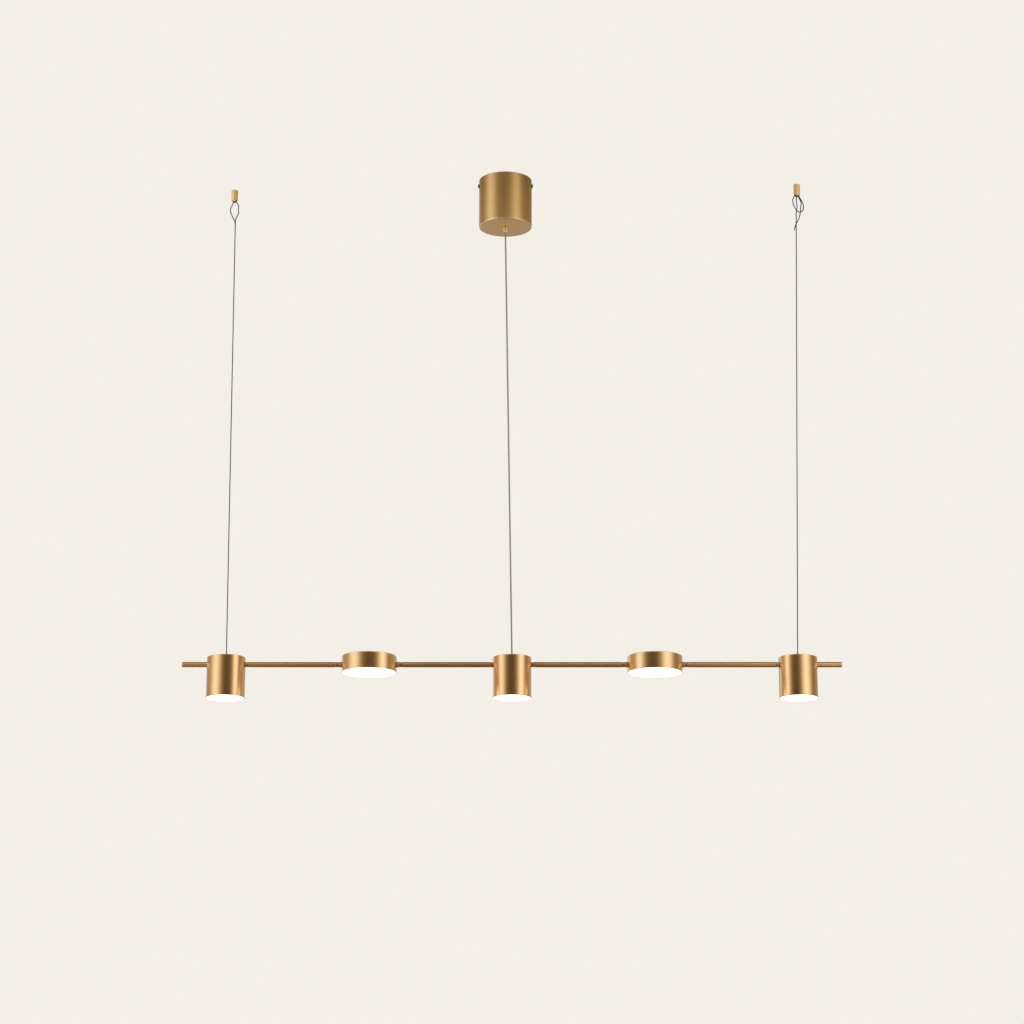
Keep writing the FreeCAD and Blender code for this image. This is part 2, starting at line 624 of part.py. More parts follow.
def head_cup(outer, height, top, edge, place):
    inner = outer - HEAD_WALL
    groove = inner + DIFFUSER_SNAP
    low = DIFFUSER_RECESS
    high = DIFFUSER_RISE
    return turned([
        (0, height, 0), (outer, height, edge), (outer, 0, 0), (inner, 0, 0), (inner, low, 0),
        (groove, low, 0), (groove, high, 0), (inner, high, 0), (inner, height - top, 0),
        (0, height - top, 0)], place)


def diffuser(x, inner, bottom):
    """An opal disc that snaps into the groove in the wall of its head."""
    return rod(inner + DIFFUSER_SNAP - SLIP, Vector(x, 0, bottom + DIFFUSER_RECESS),
               DIFFUSER_THICKNESS)


def reflector(x):
    """A cone on the diffuser's back, round the LED board."""
    wide = SPOT_INNER - SLIP
    narrow = SPOT_BOARD_DIAMETER / 2 + SLIP
    low = SPOT_BOTTOM + DIFFUSER_RISE
    return turned([
        (wide - REFLECTOR_WALL, low, 0), (wide, low, 0), (wide, low + REFLECTOR_WALL, 0),
        (narrow + REFLECTOR_WALL, SINK_BOTTOM, 0), (narrow, SINK_BOTTOM, 0)],
        Vector(x, 0, 0))


def chips(x, ring, count, bottom):
    """LED chips under a board, on a circle."""
    half = CHIP_SIZE / 2
    made = []
    for index in range(count):
        angle = 2 * math.pi * (index + 0.5) / count
        middle = Vector(x + ring * math.cos(angle), ring * math.sin(angle), bottom)
        made.append(block(middle - Vector(half, half, CHIP_HEIGHT),
                          middle + Vector(half, half, 0)))
    return made


def spot_board(x):
    low = SINK_BOTTOM - BOARD_THICKNESS
    board = rod(SPOT_BOARD_DIAMETER / 2, Vector(x, 0, low), BOARD_THICKNESS)
    board = board.fuse(chips(x, SPOT_CHIP_RING, SPOT_CHIPS, low))
    for side in (-1, 1):
        board = board.cut(rod(SMALL_SCREW_DIAMETER / 2 + SLIP,
                              Vector(x + side * SPOT_SCREW_OFFSET, 0, low), BOARD_THICKNESS))
    return board.removeSplitter()


def spot_board_screws(x):
    screws = []
    for side in (-1, 1):
        seat = Vector(x + side * SPOT_SCREW_OFFSET, 0, SINK_BOTTOM - BOARD_THICKNESS)
        screws.append(small_screw(seat, UP, BOARD_THICKNESS + SINK_BITE))
    return screws


def heat_sink(x):
    """A base that is pressed into the spot's wall, with straight fins above it."""
    outer = SPOT_INNER - SLIP
    base = rod(outer, Vector(x, 0, SINK_BOTTOM), SINK_BASE)
    low = SINK_BOTTOM + SINK_BASE
    pairs = int((outer - SINK_FIN) / SINK_FIN_PITCH)
    fins = []
    for index in range(-pairs, pairs + 1):
        y = index * SINK_FIN_PITCH
        reach = math.sqrt((outer - SINK_FIN) ** 2 - y * y) - SINK_FIN
        fins.append(block(Vector(x - reach, y - SINK_FIN / 2, low),
                          Vector(x + reach, y + SINK_FIN / 2, SINK_TOP)))
    sink = base.fuse(fins).removeSplitter()
    sink = sink.cut(rod(SINK_HOLE / 2, Vector(x, 0, low), SINK_TOP - low))
    sink = sink.cut(rod(CABLE_DIAMETER / 2 + CORD_PLAY, Vector(x, 0, SINK_BOTTOM), SINK_BASE))
    for side in (-1, 1):
        sink = sink.cut(rod(SMALL_SCREW_DIAMETER / 2 + SLIP,
                            Vector(x + side * SPOT_SCREW_OFFSET, 0, SINK_BOTTOM), SINK_BASE))
    return sink


def drum_post_places(x, z):
    places = []
    for index in range(DRUM_POSTS):
        angle = math.pi / 2 + 2 * math.pi * index / DRUM_POSTS
        places.append(Vector(x + DRUM_POST_RING * math.cos(angle),
                             DRUM_POST_RING * math.sin(angle), z))
    return places


def drum_shell(x):
    """A shallow cup with its mouth down, and posts under its top that carry the plate."""
    outer = DRUM_DIAMETER / 2
    shell = head_cup(outer, DRUM_HEIGHT, DRUM_TOP, DRUM_EDGE, Vector(x, 0, DRUM_Z - DRUM_HEIGHT))
    posts = [rod(DRUM_POST / 2, place, DRUM_Z - DRUM_TOP - PLATE_TOP)
             for place in drum_post_places(x, PLATE_TOP)]
    shell = shell.fuse(posts)
    for place in drum_post_places(x, PLATE_TOP):
        shell = shell.cut(rod(SMALL_SCREW_DIAMETER / 2 + SLIP, place, DRUM_SCREW_HOLE))
    return shell.cut(rod(NIPPLE_HOLE, Vector(x - outer, 0, BAR_Z), DRUM_DIAMETER, ALONG))


def drum_plate(x):
    plate = rod(DRUM_INNER - SLIP, Vector(x, 0, PLATE_BOTTOM), DRUM_PLATE)
    for place in drum_post_places(x, PLATE_BOTTOM):
        plate = plate.cut(rod(SMALL_SCREW_DIAMETER / 2 + SLIP, place, DRUM_PLATE))
    lead_hole = Vector(x + DRUM_LEAD_OFFSET, 0, PLATE_BOTTOM)
    return plate.cut(rod(LEAD_DIAMETER / 2 + CORD_PLAY, lead_hole, DRUM_PLATE))


def drum_board(x):
    low = PLATE_BOTTOM - BOARD_THICKNESS
    board = rod(DRUM_BOARD_DIAMETER / 2, Vector(x, 0, low), BOARD_THICKNESS)
    made = []
    for ring, count in DRUM_CHIP_RINGS:
        made += chips(x, ring, count, low)
    board = board.fuse(made)
    for place in drum_post_places(x, low - CHIP_HEIGHT):
        board = board.cut(rod(SMALL_SCREW_HEAD / 2 + SLIP, place, CHIP_HEIGHT))
        board = board.cut(rod(SMALL_SCREW_DIAMETER / 2 + SLIP, place,
                              CHIP_HEIGHT + BOARD_THICKNESS))
    return board.removeSplitter()


def drum_screws(x):
    low = PLATE_BOTTOM - BOARD_THICKNESS
    return [small_screw(place, UP, BOARD_THICKNESS + DRUM_PLATE + DRUM_BITE)
            for place in drum_post_places(x, low)]


def drum_lead(x):
    """A short lead from the board up to just under the cable on the bar's axis."""
    top = BAR_Z - CABLE_DIAMETER
    return rod(LEAD_DIAMETER / 2, Vector(x + DRUM_LEAD_OFFSET, 0, PLATE_BOTTOM),
               top - PLATE_BOTTOM)


def wire_stud(x):
    """The stud in the top of an outer spot: the wire ends in its blind bore."""
    thread = STUD_THREAD / 2
    bore = WIRE_DIAMETER / 2 + WIRE_PLAY
    low = SPOT_Z - SPOT_TOP - STUD_NUT_HEIGHT - THREAD_END
    return turned([
        (0, low, 0), (thread, low, 0), (thread, SPOT_Z, 0), (STUD_HEAD / 2, SPOT_Z, 0),
        (STUD_HEAD / 2, STUD_TOP, STUD_EDGE), (bore, STUD_TOP, 0),
        (bore, STUD_TOP - STUD_BORE_DEPTH, 0), (0, STUD_TOP - STUD_BORE_DEPTH, 0)],
        Vector(x, 0, 0))


def cord_bush(x):
    """The bush in the top of the middle spot that the supply cord goes through."""
    thread = BUSH_THREAD / 2
    bore = CORD_DIAMETER / 2 + CORD_PLAY
    low = SPOT_Z - BUSH_THREAD_LENGTH
    return turned([
        (bore, low, 0), (thread, low, 0), (thread, SPOT_Z, 0), (BUSH_HEAD / 2, SPOT_Z, 0),
        (BUSH_HEAD / 2, BUSH_TOP, BUSH_EDGE), (bore, BUSH_TOP, MOUTH_EDGE)], Vector(x, 0, 0))


def bar_tube(name, start, end, heads):
    """A length of bar between two places, coped where it meets the round wall of a head."""
    length = tube(BAR_DIAMETER / 2, NIPPLE_HOLE, Vector(start, 0, BAR_Z), end - start, ALONG)
    add(name, coped(length, heads))


def coped(piece, heads):
    """Cut a piece back to the round walls of the spots that it meets."""
    for x in heads:
        piece = piece.cut(rod(SPOT_DIAMETER / 2, Vector(x, 0, SPOT_BOTTOM), SPOT_HEIGHT))
    return piece


def neck_collar(x, side):
    """The short neck at an inner side of a spot."""
    start = x + side * (SPOT_DIAMETER / 2 - HEAD_WALL)
    piece = tube(NECK_DIAMETER / 2, NIPPLE_HOLE, Vector(start, 0, BAR_Z),
                 NECK_LENGTH + HEAD_WALL, ALONG * side)
    return coped(piece, [x])


def swivel_ring(x, side):
    """The rounded ring beside a drum."""
    half = RING_LENGTH / 2
    ring = turned([
        (NIPPLE_HOLE, -half, 0), (RING_DIAMETER / 2, -half, RING_EDGE),
        (RING_DIAMETER / 2, half, RING_EDGE), (NIPPLE_HOLE, half, 0)], Vector(0, 0, 0))
    ring.Placement = FreeCAD.Placement(Vector(x + side * (RING_START + half), 0, BAR_Z),
                                       FreeCAD.Rotation(UP, ALONG))
    return ring


def swivel_collar(x, side):
    """The collar between a ring and the bar, chamfered at both ends."""
    outer = NECK_DIAMETER / 2
    cut = COLLAR_CHAMFER
    half = COLLAR_LENGTH / 2
    collar = turned([
        (NIPPLE_HOLE, -half, 0), (outer - cut, -half, 0), (outer, -half + cut, 0),
        (outer, half - cut, 0), (outer - cut, half, 0), (NIPPLE_HOLE, half, 0)],
        Vector(0, 0, 0))
    collar.Placement = FreeCAD.Placement(Vector(x + side * (COLLAR_START + half), 0, BAR_Z),
                                         FreeCAD.Rotation(UP, ALONG))
    return collar


def nipple(x, side, tube_start, nut_face):
    """A hollow threaded nipple from inside a length of bar to just past its lock nut."""
    inner = nut_face - NUT_HEIGHT - THREAD_END
    outer = tube_start + NIPPLE_IN_TUBE
    return tube(NIPPLE_DIAMETER / 2, NIPPLE_BORE / 2, Vector(x + side * inner, 0, BAR_Z),
                outer - inner, ALONG * side)


def lock_nut(x, side, face):
    return nut(NUT_ACROSS, NIPPLE_HOLE, NUT_HEIGHT, Vector(x + side * (face - NUT_HEIGHT), 0,
                                                           BAR_Z), ALONG * side)


def end_plug(side):
    """It closes the open end of a stub, flush with the bar."""
    end = BAR_OFFSET + side * BAR_LENGTH / 2
    head = rod(BAR_DIAMETER / 2, Vector(end, 0, BAR_Z), PLUG_HEIGHT, ALONG * -side)
    spigot = rod(NIPPLE_DIAMETER / 2, Vector(end, 0, BAR_Z), PLUG_HEIGHT + PLUG_SPIGOT,
                 ALONG * -side)
    return head.fuse(spigot).removeSplitter()


def bar_cable(side):
    """From the splice along the bar, through a drum, and down to the outer spot's board."""
    end = SPOT_X["right"] if side > 0 else SPOT_X["left"]
    start = BAR_OFFSET + side * SPLICE_LENGTH / 2
    cable, _ = bent_tube("bar cable", [
        Vector(start, 0, BAR_Z), Vector(end, 0, BAR_Z), Vector(end, 0, SINK_BOTTOM)],
        CABLE_DIAMETER)
    return cable


def splice_block():
    half = Vector(SPLICE_LENGTH, SPLICE_WIDTH, SPLICE_HEIGHT) * 0.5
    middle = Vector(BAR_OFFSET, 0, BAR_Z)
    return block(middle - half, middle + half)


def make_ceiling_set():
    add("ceiling_bracket", ceiling_bracket())
    add("canopy_cup", canopy_cup())
    add("canopy_side_screws", *side_screws())
    add("bracket_screws", *bracket_screws())
    add("terminal_block", terminal_block())
    add("mains_leads", *mains_leads())
    add("driver_case", driver_case())
    add("driver_cover", driver_cover())
    body, cap, locknut = gland_parts()
    add("gland_body", body)
    add("gland_cap", cap)
    add("gland_nut", locknut)
    inner_top = DRIVER_BOTTOM + CORD_IN_DRIVER
    add("inner_cord", rod(CORD_DIAMETER / 2, Vector(0, 0, GLAND_MOUTH), inner_top - GLAND_MOUTH))
    sides = (("left", LEFT_ANCHOR_X, LEFT_ANCHOR_TOP, LEFT_START, LEFT_LOOP),
             ("right", RIGHT_ANCHOR_X, RIGHT_ANCHOR_TOP, RIGHT_START, RIGHT_LOOP))
    for name, x, top, start, loop in sides:
        add("ceiling_anchor_" + name, ceiling_anchor(x, top))
        add("wire_loop_" + name, wire_loop("wire_loop_" + name, x, top, start, loop))
    add("anchor_set_screws", *[set_screw(x, top) for _, x, top, _, _ in sides])


def make_lines():
    wire_end = STUD_TOP - STUD_BORE_DEPTH
    tops = {"left": LEFT_ANCHOR_X + LEFT_START, "right": RIGHT_ANCHOR_X + RIGHT_START}
    for name, x in tops.items():
        add("suspension_wire_" + name,
            straight_line("suspension_wire_" + name, Vector(x, 0, GLAND_MOUTH),
                          Vector(SPOT_X[name], 0, wire_end), WIRE_DIAMETER))
    add("flex_cord", straight_line("flex_cord", Vector(0, 0, GLAND_MOUTH),
                                   Vector(BAR_OFFSET, 0, BAR_Z + SPLICE_HEIGHT / 2),
                                   CORD_DIAMETER))


def make_bar():
    joints = []
    for name, x in SPOT_X.items():
        for side in (-1, 1):
            stub = (name, side) in (("left", -1), ("right", 1))
            neck = SPOT_DIAMETER / 2 if stub else SPOT_NECK_END
            joints.append((x, side, neck, SPOT_NUT_FACE))
    for x in DRUM_X.values():
        for side in (-1, 1):
            joints.append((x, side, DRUM_NECK_END, DRUM_NUT_FACE))
    add("hollow_nipples", *[nipple(*joint) for joint in joints])
    add("lock_nuts", *[lock_nut(x, side, face) for x, side, _, face in joints])
    inner_sides = ((SPOT_X["left"], 1), (SPOT_X["middle"], -1), (SPOT_X["middle"], 1),
                   (SPOT_X["right"], -1))
    add("spot_necks", *[neck_collar(x, side) for x, side in inner_sides])
    drum_sides = [(x, side) for x in DRUM_X.values() for side in (-1, 1)]
    add("swivel_rings", *[swivel_ring(x, side) for x, side in drum_sides])
    add("swivel_collars", *[swivel_collar(x, side) for x, side in drum_sides])
    add("swivel_washers", *[
        tube(WASHER_DIAMETER / 2, NIPPLE_HOLE, Vector(x + side * DRUM_NUT_FACE, 0, BAR_Z),
             WASHER_HEIGHT, ALONG * side) for x, side in drum_sides])
    bar_tube("bar_tube_outer_left", SPOT_X["left"] + SPOT_NECK_END,
             DRUM_X["left"] - DRUM_NECK_END, [])
    bar_tube("bar_tube_inner_left", DRUM_X["left"] + DRUM_NECK_END,
             SPOT_X["middle"] - SPOT_NECK_END, [])
    bar_tube("bar_tube_inner_right", SPOT_X["middle"] + SPOT_NECK_END,
             DRUM_X["right"] - DRUM_NECK_END, [])
    bar_tube("bar_tube_outer_right", DRUM_X["right"] + DRUM_NECK_END,
             SPOT_X["right"] - SPOT_NECK_END, [])
    reach = BAR_LENGTH / 2 - PLUG_HEIGHT
    bar_tube("bar_stub_left", BAR_OFFSET - reach, SPOT_X["left"] - SPOT_INNER, [SPOT_X["left"]])
    bar_tube("bar_stub_right", SPOT_X["right"] + SPOT_INNER, BAR_OFFSET + reach,
             [SPOT_X["right"]])
    add("bar_end_plugs", end_plug(-1), end_plug(1))
    middle_lead = rod(CABLE_DIAMETER / 2, Vector(BAR_OFFSET, 0, SINK_BOTTOM),
                      BAR_Z - SPLICE_HEIGHT / 2 - SINK_BOTTOM)
    add("bar_wiring", bar_cable(-1), bar_cable(1), middle_lead)
    add("splice_block", splice_block())


def make_spots():
    for name, x in SPOT_X.items():
        hole = (BUSH_THREAD if name == "middle" else STUD_THREAD) / 2 + SLIP
        add(f"spot_{name}_shell", spot_shell(x, hole))
        add(f"spot_{name}_diffuser", diffuser(x, SPOT_INNER, SPOT_BOTTOM))
    centres = SPOT_X.values()
    add("spot_heat_sinks", *[heat_sink(x) for x in centres])
    add("spot_led_boards", *[spot_board(x) for x in centres])
    add("spot_board_screws", *[screw for x in centres for screw in spot_board_screws(x)])
    add("spot_reflectors", *[reflector(x) for x in centres])
    outer = (SPOT_X["left"], SPOT_X["right"])
    add("wire_studs", *[wire_stud(x) for x in outer])
    nut_z = SPOT_Z - SPOT_TOP - STUD_NUT_HEIGHT
    add("wire_stud_nuts", *[nut(STUD_NUT, STUD_THREAD / 2 + SLIP, STUD_NUT_HEIGHT,
                                Vector(x, 0, nut_z)) for x in outer])
    add("cord_bush", cord_bush(SPOT_X["middle"]))


def make_drums():
    for name, x in DRUM_X.items():
        add(f"drum_{name}_shell", drum_shell(x))
        add(f"drum_{name}_plate", drum_plate(x))
        add(f"drum_{name}_led_board", drum_board(x))
        add(f"drum_{name}_screws", *drum_screws(x))
        add(f"drum_{name}_lead", drum_lead(x))
        add(f"drum_{name}_diffuser", diffuser(x, DRUM_INNER, DRUM_Z - DRUM_HEIGHT))


make_ceiling_set()
make_lines()
make_bar()
make_spots()
make_drums()

os.makedirs("parts", exist_ok=True)
for name, shape in NODES.items():
    if not shape.isValid():
        print(f"{name} is not valid")
    shape.exportStep(f"parts/{name}.step")
print(f"{len(NODES)} nodes, {sum(len(shape.Solids) for shape in NODES.values())} solids")
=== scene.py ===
import math

import bmesh
import bpy
from mathutils import Matrix, Vector


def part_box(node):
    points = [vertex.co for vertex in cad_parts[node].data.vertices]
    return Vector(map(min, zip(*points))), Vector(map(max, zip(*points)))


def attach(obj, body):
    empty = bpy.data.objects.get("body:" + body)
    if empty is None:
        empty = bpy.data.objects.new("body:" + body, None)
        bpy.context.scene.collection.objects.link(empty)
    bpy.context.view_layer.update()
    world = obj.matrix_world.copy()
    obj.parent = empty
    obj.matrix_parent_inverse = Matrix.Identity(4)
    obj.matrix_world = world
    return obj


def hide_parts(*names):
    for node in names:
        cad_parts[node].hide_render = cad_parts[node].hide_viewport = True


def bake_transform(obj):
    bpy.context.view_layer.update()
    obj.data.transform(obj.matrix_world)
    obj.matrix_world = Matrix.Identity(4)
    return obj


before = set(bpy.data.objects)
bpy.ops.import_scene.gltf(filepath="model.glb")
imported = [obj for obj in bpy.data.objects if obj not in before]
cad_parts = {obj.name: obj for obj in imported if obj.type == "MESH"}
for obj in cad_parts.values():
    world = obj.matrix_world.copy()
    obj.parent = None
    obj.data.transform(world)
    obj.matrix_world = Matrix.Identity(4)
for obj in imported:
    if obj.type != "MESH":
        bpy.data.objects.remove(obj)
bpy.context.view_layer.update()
print("frame loaded:", len(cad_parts), "nodes")

mm = 0.001
origin = Vector((0, 0, 0))
sharpAngle = math.radians(32)      # edges that bend more than this stay sharp


# boxes, pieces and meshes

def nodeBox(node):
    low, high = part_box(node)
    return Vector(low), Vector(high)


def middleOf(node):
    low, high = nodeBox(node)
    return (low + high) / 2


def roundSize(node):
    # an upright round node's radius and height in mm, and the middle of its lower end
    low, high = nodeBox(node)
    foot = Vector(((low.x + high.x) / 2, (low.y + high.y) / 2, low.z))
    return (high.x - low.x) / 2 / mm, (high.z - low.z) / mm, foot


def holderOf(data, name="holder"):
    holder = bpy.data.objects.new(name, data)
    bpy.context.scene.collection.objects.link(holder)
    return holder


def pieceName(node):
    first, *rest = node.split("_")
    return first + "".join(word.capitalize() for word in rest)


def addPiece(name, mesh, material, body, node=None):
    # a piece has its place in its mesh, so its object stays at the origin
    piece = holderOf(mesh, name)
    mesh.materials.clear()
    mesh.materials.append(material)
    if body:
        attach(piece, body)
    if node:
        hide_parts(node)
    return piece


def meshFrom(bm, name):
    mesh = bpy.data.meshes.new(name)
    bm.to_mesh(mesh)
    bm.free()
    return mesh


def smoothMesh(mesh):
    mesh.shade_smooth()
    mesh.set_sharp_from_angle(angle=sharpAngle)
    return mesh


def plainMeshOf(holder, name):
    # what an object's modifiers make of it, as a plain mesh; the object itself goes
    bpy.context.view_layer.update()
    evaluated = holder.evaluated_get(bpy.context.evaluated_depsgraph_get())
    mesh = bpy.data.meshes.new_from_object(evaluated)
    mesh.name = name
    bpy.data.objects.remove(holder)
    return mesh


def cutMesh(mesh, cutter):
    # one mesh less another
    name = mesh.name
    holder = holderOf(mesh)
    knife = holderOf(cutter)
    cut = holder.modifiers.new("cut", "BOOLEAN")
    cut.operation = "DIFFERENCE"
    cut.solver = "EXACT"
    cut.object = knife
    made = plainMeshOf(holder, name)
    bpy.data.objects.remove(knife)
    return made


brokenEdge = {"segments": 2, "angle": 40.0, "flatAngle": 1.0, "weld": 1e-6}


def bevelledCopy(node, width):
    # a CAD node's shape with its sharp edges broken
    bm = bmesh.new()
    bm.from_mesh(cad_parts[node].data)
    bmesh.ops.remove_doubles(bm, verts=bm.verts, dist=brokenEdge["weld"])
    flat = math.radians(brokenEdge["flatAngle"])
    bmesh.ops.dissolve_limit(bm, angle_limit=flat, verts=bm.verts, edges=bm.edges)
    holder = holderOf(meshFrom(bm, node))
    bevel = holder.modifiers.new("bevel", "BEVEL")
    bevel.width = width * mm
    bevel.segments = brokenEdge["segments"]
    bevel.limit_method = "ANGLE"
    bevel.angle_limit = math.radians(brokenEdge["angle"])
    return smoothMesh(plainMeshOf(holder, node))


cornerArc = {"steps": 6, "shoulder": 0.9}      # spans in a rounded corner, mm of face kept beside it


def roundedSection(section):
    # a closed half section of corners (radius, height, rounding) in mm, as points with an edge
    # value: 1 on the rounded corners, 0 on the faces between them
    points = []
    for index, (radius, height, rounding) in enumerate(section):
        at = Vector((radius, height))
        before = Vector(section[index - 1][:2])
        after = Vector(section[(index + 1) % len(section)][:2])
        if rounding <= 0:
            points.append((at, 0.0))
            continue
        back = (before - at).normalized()
        ahead = (after - at).normalized()
        half = back.angle(ahead) / 2
        reach = rounding / math.tan(half)
        middle = at + (back + ahead).normalized() * (rounding / math.sin(half))
        start = (at + back * reach - middle) / rounding
        end = (at + ahead * reach - middle) / rounding
        beside = reach + cornerArc["shoulder"]
        if (before - at).length > 2 * beside:
            points.append((at + back * beside, 0.0))
        for step in range(cornerArc["steps"] + 1):
            turn = start.slerp(end, step / cornerArc["steps"])
            points.append((middle + turn * rounding, 1.0))
        if (after - at).length > 2 * beside:
            points.append((at + ahead * beside, 0.0))
    return points


def turnedMesh(name, section, centre, axis="z", steps=96):
    # a closed half section turned about the axis through centre; heights are along the axis
    bm = bmesh.new()
    edgeLayer = bm.verts.layers.float.new("edge")
    rings = []
    for point, edge in roundedSection(section):
        radius, height = point.x * mm, point.y * mm
        ring = []
        for index in range(1 if radius == 0 else steps):
            angle = 2 * math.pi * index / steps
            vert = bm.verts.new((radius * math.cos(angle), radius * math.sin(angle), height))
            vert[edgeLayer] = edge
            ring.append(vert)
        rings.append(ring)
    for low, high in zip(rings, rings[1:] + rings[:1]):
        if len(low) == 1 and len(high) == 1:
            continue
        for index in range(steps):
            after = (index + 1) % steps
            corners = [low[index % len(low)], low[after % len(low)],
                       high[after % len(high)], high[index % len(high)]]
            bm.faces.new(list(dict.fromkeys(corners)))
    if axis == "x":
        bmesh.ops.transform(bm, matrix=Matrix.Rotation(math.pi / 2, 4, "Y"), verts=bm.verts)
    bmesh.ops.translate(bm, vec=centre, verts=bm.verts)
    bmesh.ops.recalc_face_normals(bm, faces=bm.faces)
    return smoothMesh(meshFrom(bm, name))


def addTurned(name, section, centre, material, body, node, axis="z", steps=96):
    addPiece(name, turnedMesh(name, section, centre, axis, steps), material, body, node)


# node trees

def setInputs(node, inputs):
    for key, value in inputs.items():
        if isinstance(value, bpy.types.NodeSocket):
            node.id_data.links.new(value, node.inputs[key])
        else:
            node.inputs[key].default_value = value


def put(tree, kind, inputs=None, **settings):
    # a new node, set and linked; what comes back is its outputs
    node = tree.nodes.new(kind)
    for key, value in settings.items():
        setattr(node, key, value)
    setInputs(node, inputs or {})
    return node.outputs


def joined(kind, inputs, **settings):
    # a node in the tree of the sockets that it joins
    tree = next(value.id_data for value in inputs.values() if isinstance(value, bpy.types.NodeSocket))
    return put(tree, kind, inputs, **settings)


def calc(operation, *values):
    return joined("ShaderNodeMath", dict(enumerate(values)), operation=operation)[0]


def times(first, *others):
    for value in others:
        first = calc("MULTIPLY", first, value)
    return first


def mixValue(factor, low, high):
    # low where factor is 0, high where it is 1
    return joined("ShaderNodeMapRange", {"Value": factor, "To Min": low, "To Max": high})["Result"]


def ramp(value, start, end, shape="SMOOTHSTEP"):
    # 0 at start, 1 at end
    inputs = {"Value": value, "From Min": start, "From Max": end}
    return joined("ShaderNodeMapRange", inputs, interpolation_type=shape)["Result"]


def mixColour(factor, low, high):
    return joined("ShaderNodeMix", {0: factor, 6: low, 7: high}, data_type="RGBA")[2]


def noiseOf(place, size, detail, **inputs):
    inputs.update({"Vector": place, "Scale": size, "Detail": detail})
    return joined("ShaderNodeTexNoise", inputs)["Fac"]


def partsOf(vector):
    return joined("ShaderNodeSeparateXYZ", {"Vector": vector})


def newGroup(name, kind, inputs, outputs):
    # an input is given by its default value, or by its kind where it has none
    group = bpy.data.node_groups.new(name, kind)
    kinds = {float: "Float", int: "Int"}
    for title, value in inputs.items():
        socketKind = "NodeSocket" + kinds.get(type(value), str(value))
        socket = group.interface.new_socket(title, in_out="INPUT", socket_type=socketKind)
        if type(value) in kinds:
            socket.default_value = value
    for title, socketKind in outputs.items():
        group.interface.new_socket(title, in_out="OUTPUT", socket_type="NodeSocket" + socketKind)
    return group, group.nodes.new("NodeGroupInput").outputs, group.nodes.new("NodeGroupOutput")


def useGroup(group, inputs):
    return joined("ShaderNodeGroup", inputs, node_tree=group)


# shader groups for what the finishes share

lineNoise = {"Lines": {"share": 1.0, "detail": 4.0}, "Streaks": {"share": 0.16, "detail": 2.0}}
lineRough = 0.65
handlingNoise = {
    "detail": 3.0, "warp": 0.6, "finer": 7.0, "fineDetail": 2.0, "fineShare": 0.3, "mean": 0.65}
wornNoise = {"detail": 4.0, "from": 0.35, "to": 0.6}
dustNoise = {
    "size": 900.0, "detail": 5.0, "rough": 0.7, "from": 0.3, "to": 0.7, "upFrom": 0.6, "upTo": 0.98}
grainNoise = {"detail": 3.0, "rough": 0.6}


def radiusOf(parts):
    return calc("SQRT", calc("MULTIPLY_ADD", parts["X"], parts["X"], times(parts["Y"], parts["Y"])))


def makeBrushLines():
    # fine lines that run round a vertical axis on the sides and ends of a turned piece
    group, given, out = newGroup("brushLines", "ShaderNodeTree", {
        "Vector": "Vector", "Around": 2.0, "Along": 2200.0, "Outward": 2200.0},
        {"Lines": "Float", "Streaks": "Float"})
    parts = partsOf(given["Vector"])
    radius = calc("MAXIMUM", radiusOf(parts), 1e-6)
    side = times(calc("DIVIDE", parts["X"], radius), given["Around"])
    front = times(calc("DIVIDE", parts["Y"], radius), given["Around"])
    for name, noise in lineNoise.items():
        height = times(parts["Z"], given["Along"], noise["share"])
        place = joined("ShaderNodeCombineXYZ", {"X": side, "Y": front, "Z": height})
        lines = joined("ShaderNodeTexNoise", {
            "Vector": place["Vector"], "W": times(radius, given["Outward"], noise["share"]),
            "Scale": 1.0, "Detail": noise["detail"], "Roughness": lineRough}, noise_dimensions="4D")
        setInputs(out, {name: lines["Fac"]})
    return group


def makeHandling():
    # slow unevenness of a finish that hands and cloths have been over
    group, given, out = newGroup("handling", "ShaderNodeTree", {
        "Vector": "Vector", "Size": 60.0, "Contrast": 0.5}, {"Patches": "Float"})
    noise = handlingNoise
    broad = noiseOf(given["Vector"], given["Size"], noise["detail"], Distortion=noise["warp"])
    fine = noiseOf(given["Vector"], times(given["Size"], noise["finer"]), noise["fineDetail"])
    both = calc("MULTIPLY_ADD", fine, noise["fineShare"], broad)
    centred = times(calc("SUBTRACT", both, noise["mean"]), given["Contrast"])
    setInputs(out, {"Patches": calc("ADD", centred, 0.5)})
    return group


def makeWornEdge():
    # 1 along an edge, broken up, and 0 on the faces
    group, given, out = newGroup("wornEdge", "ShaderNodeTree", {
        "Vector": "Vector", "Edge": 0.0, "Size": 350.0}, {"Mask": "Float"})
    patches = noiseOf(given["Vector"], given["Size"], wornNoise["detail"])
    broken = ramp(patches, wornNoise["from"], wornNoise["to"], "LINEAR")
    setInputs(out, {"Mask": times(broken, given["Edge"])})
    return group


def makeDust():
    # thin dust that settles on what faces up
    group, given, out = newGroup("dust", "ShaderNodeTree", {
        "Vector": "Vector", "Amount": 0.1}, {"Mask": "Float"})
    up = partsOf(put(group, "ShaderNodeNewGeometry")["Normal"])["Z"]
    noise = dustNoise
    level = ramp(up, noise["upFrom"], noise["upTo"], "LINEAR")
    specks = noiseOf(given["Vector"], noise["size"], noise["detail"], Roughness=noise["rough"])
    specks = ramp(specks, noise["from"], noise["to"], "LINEAR")
    setInputs(out, {"Mask": times(level, given["Amount"], specks)})
    return group


brushLines = makeBrushLines()
handling = makeHandling()
wornEdge = makeWornEdge()
dust = makeDust()
dustColour = (0.62, 0.59, 0.54, 1)


# finishes

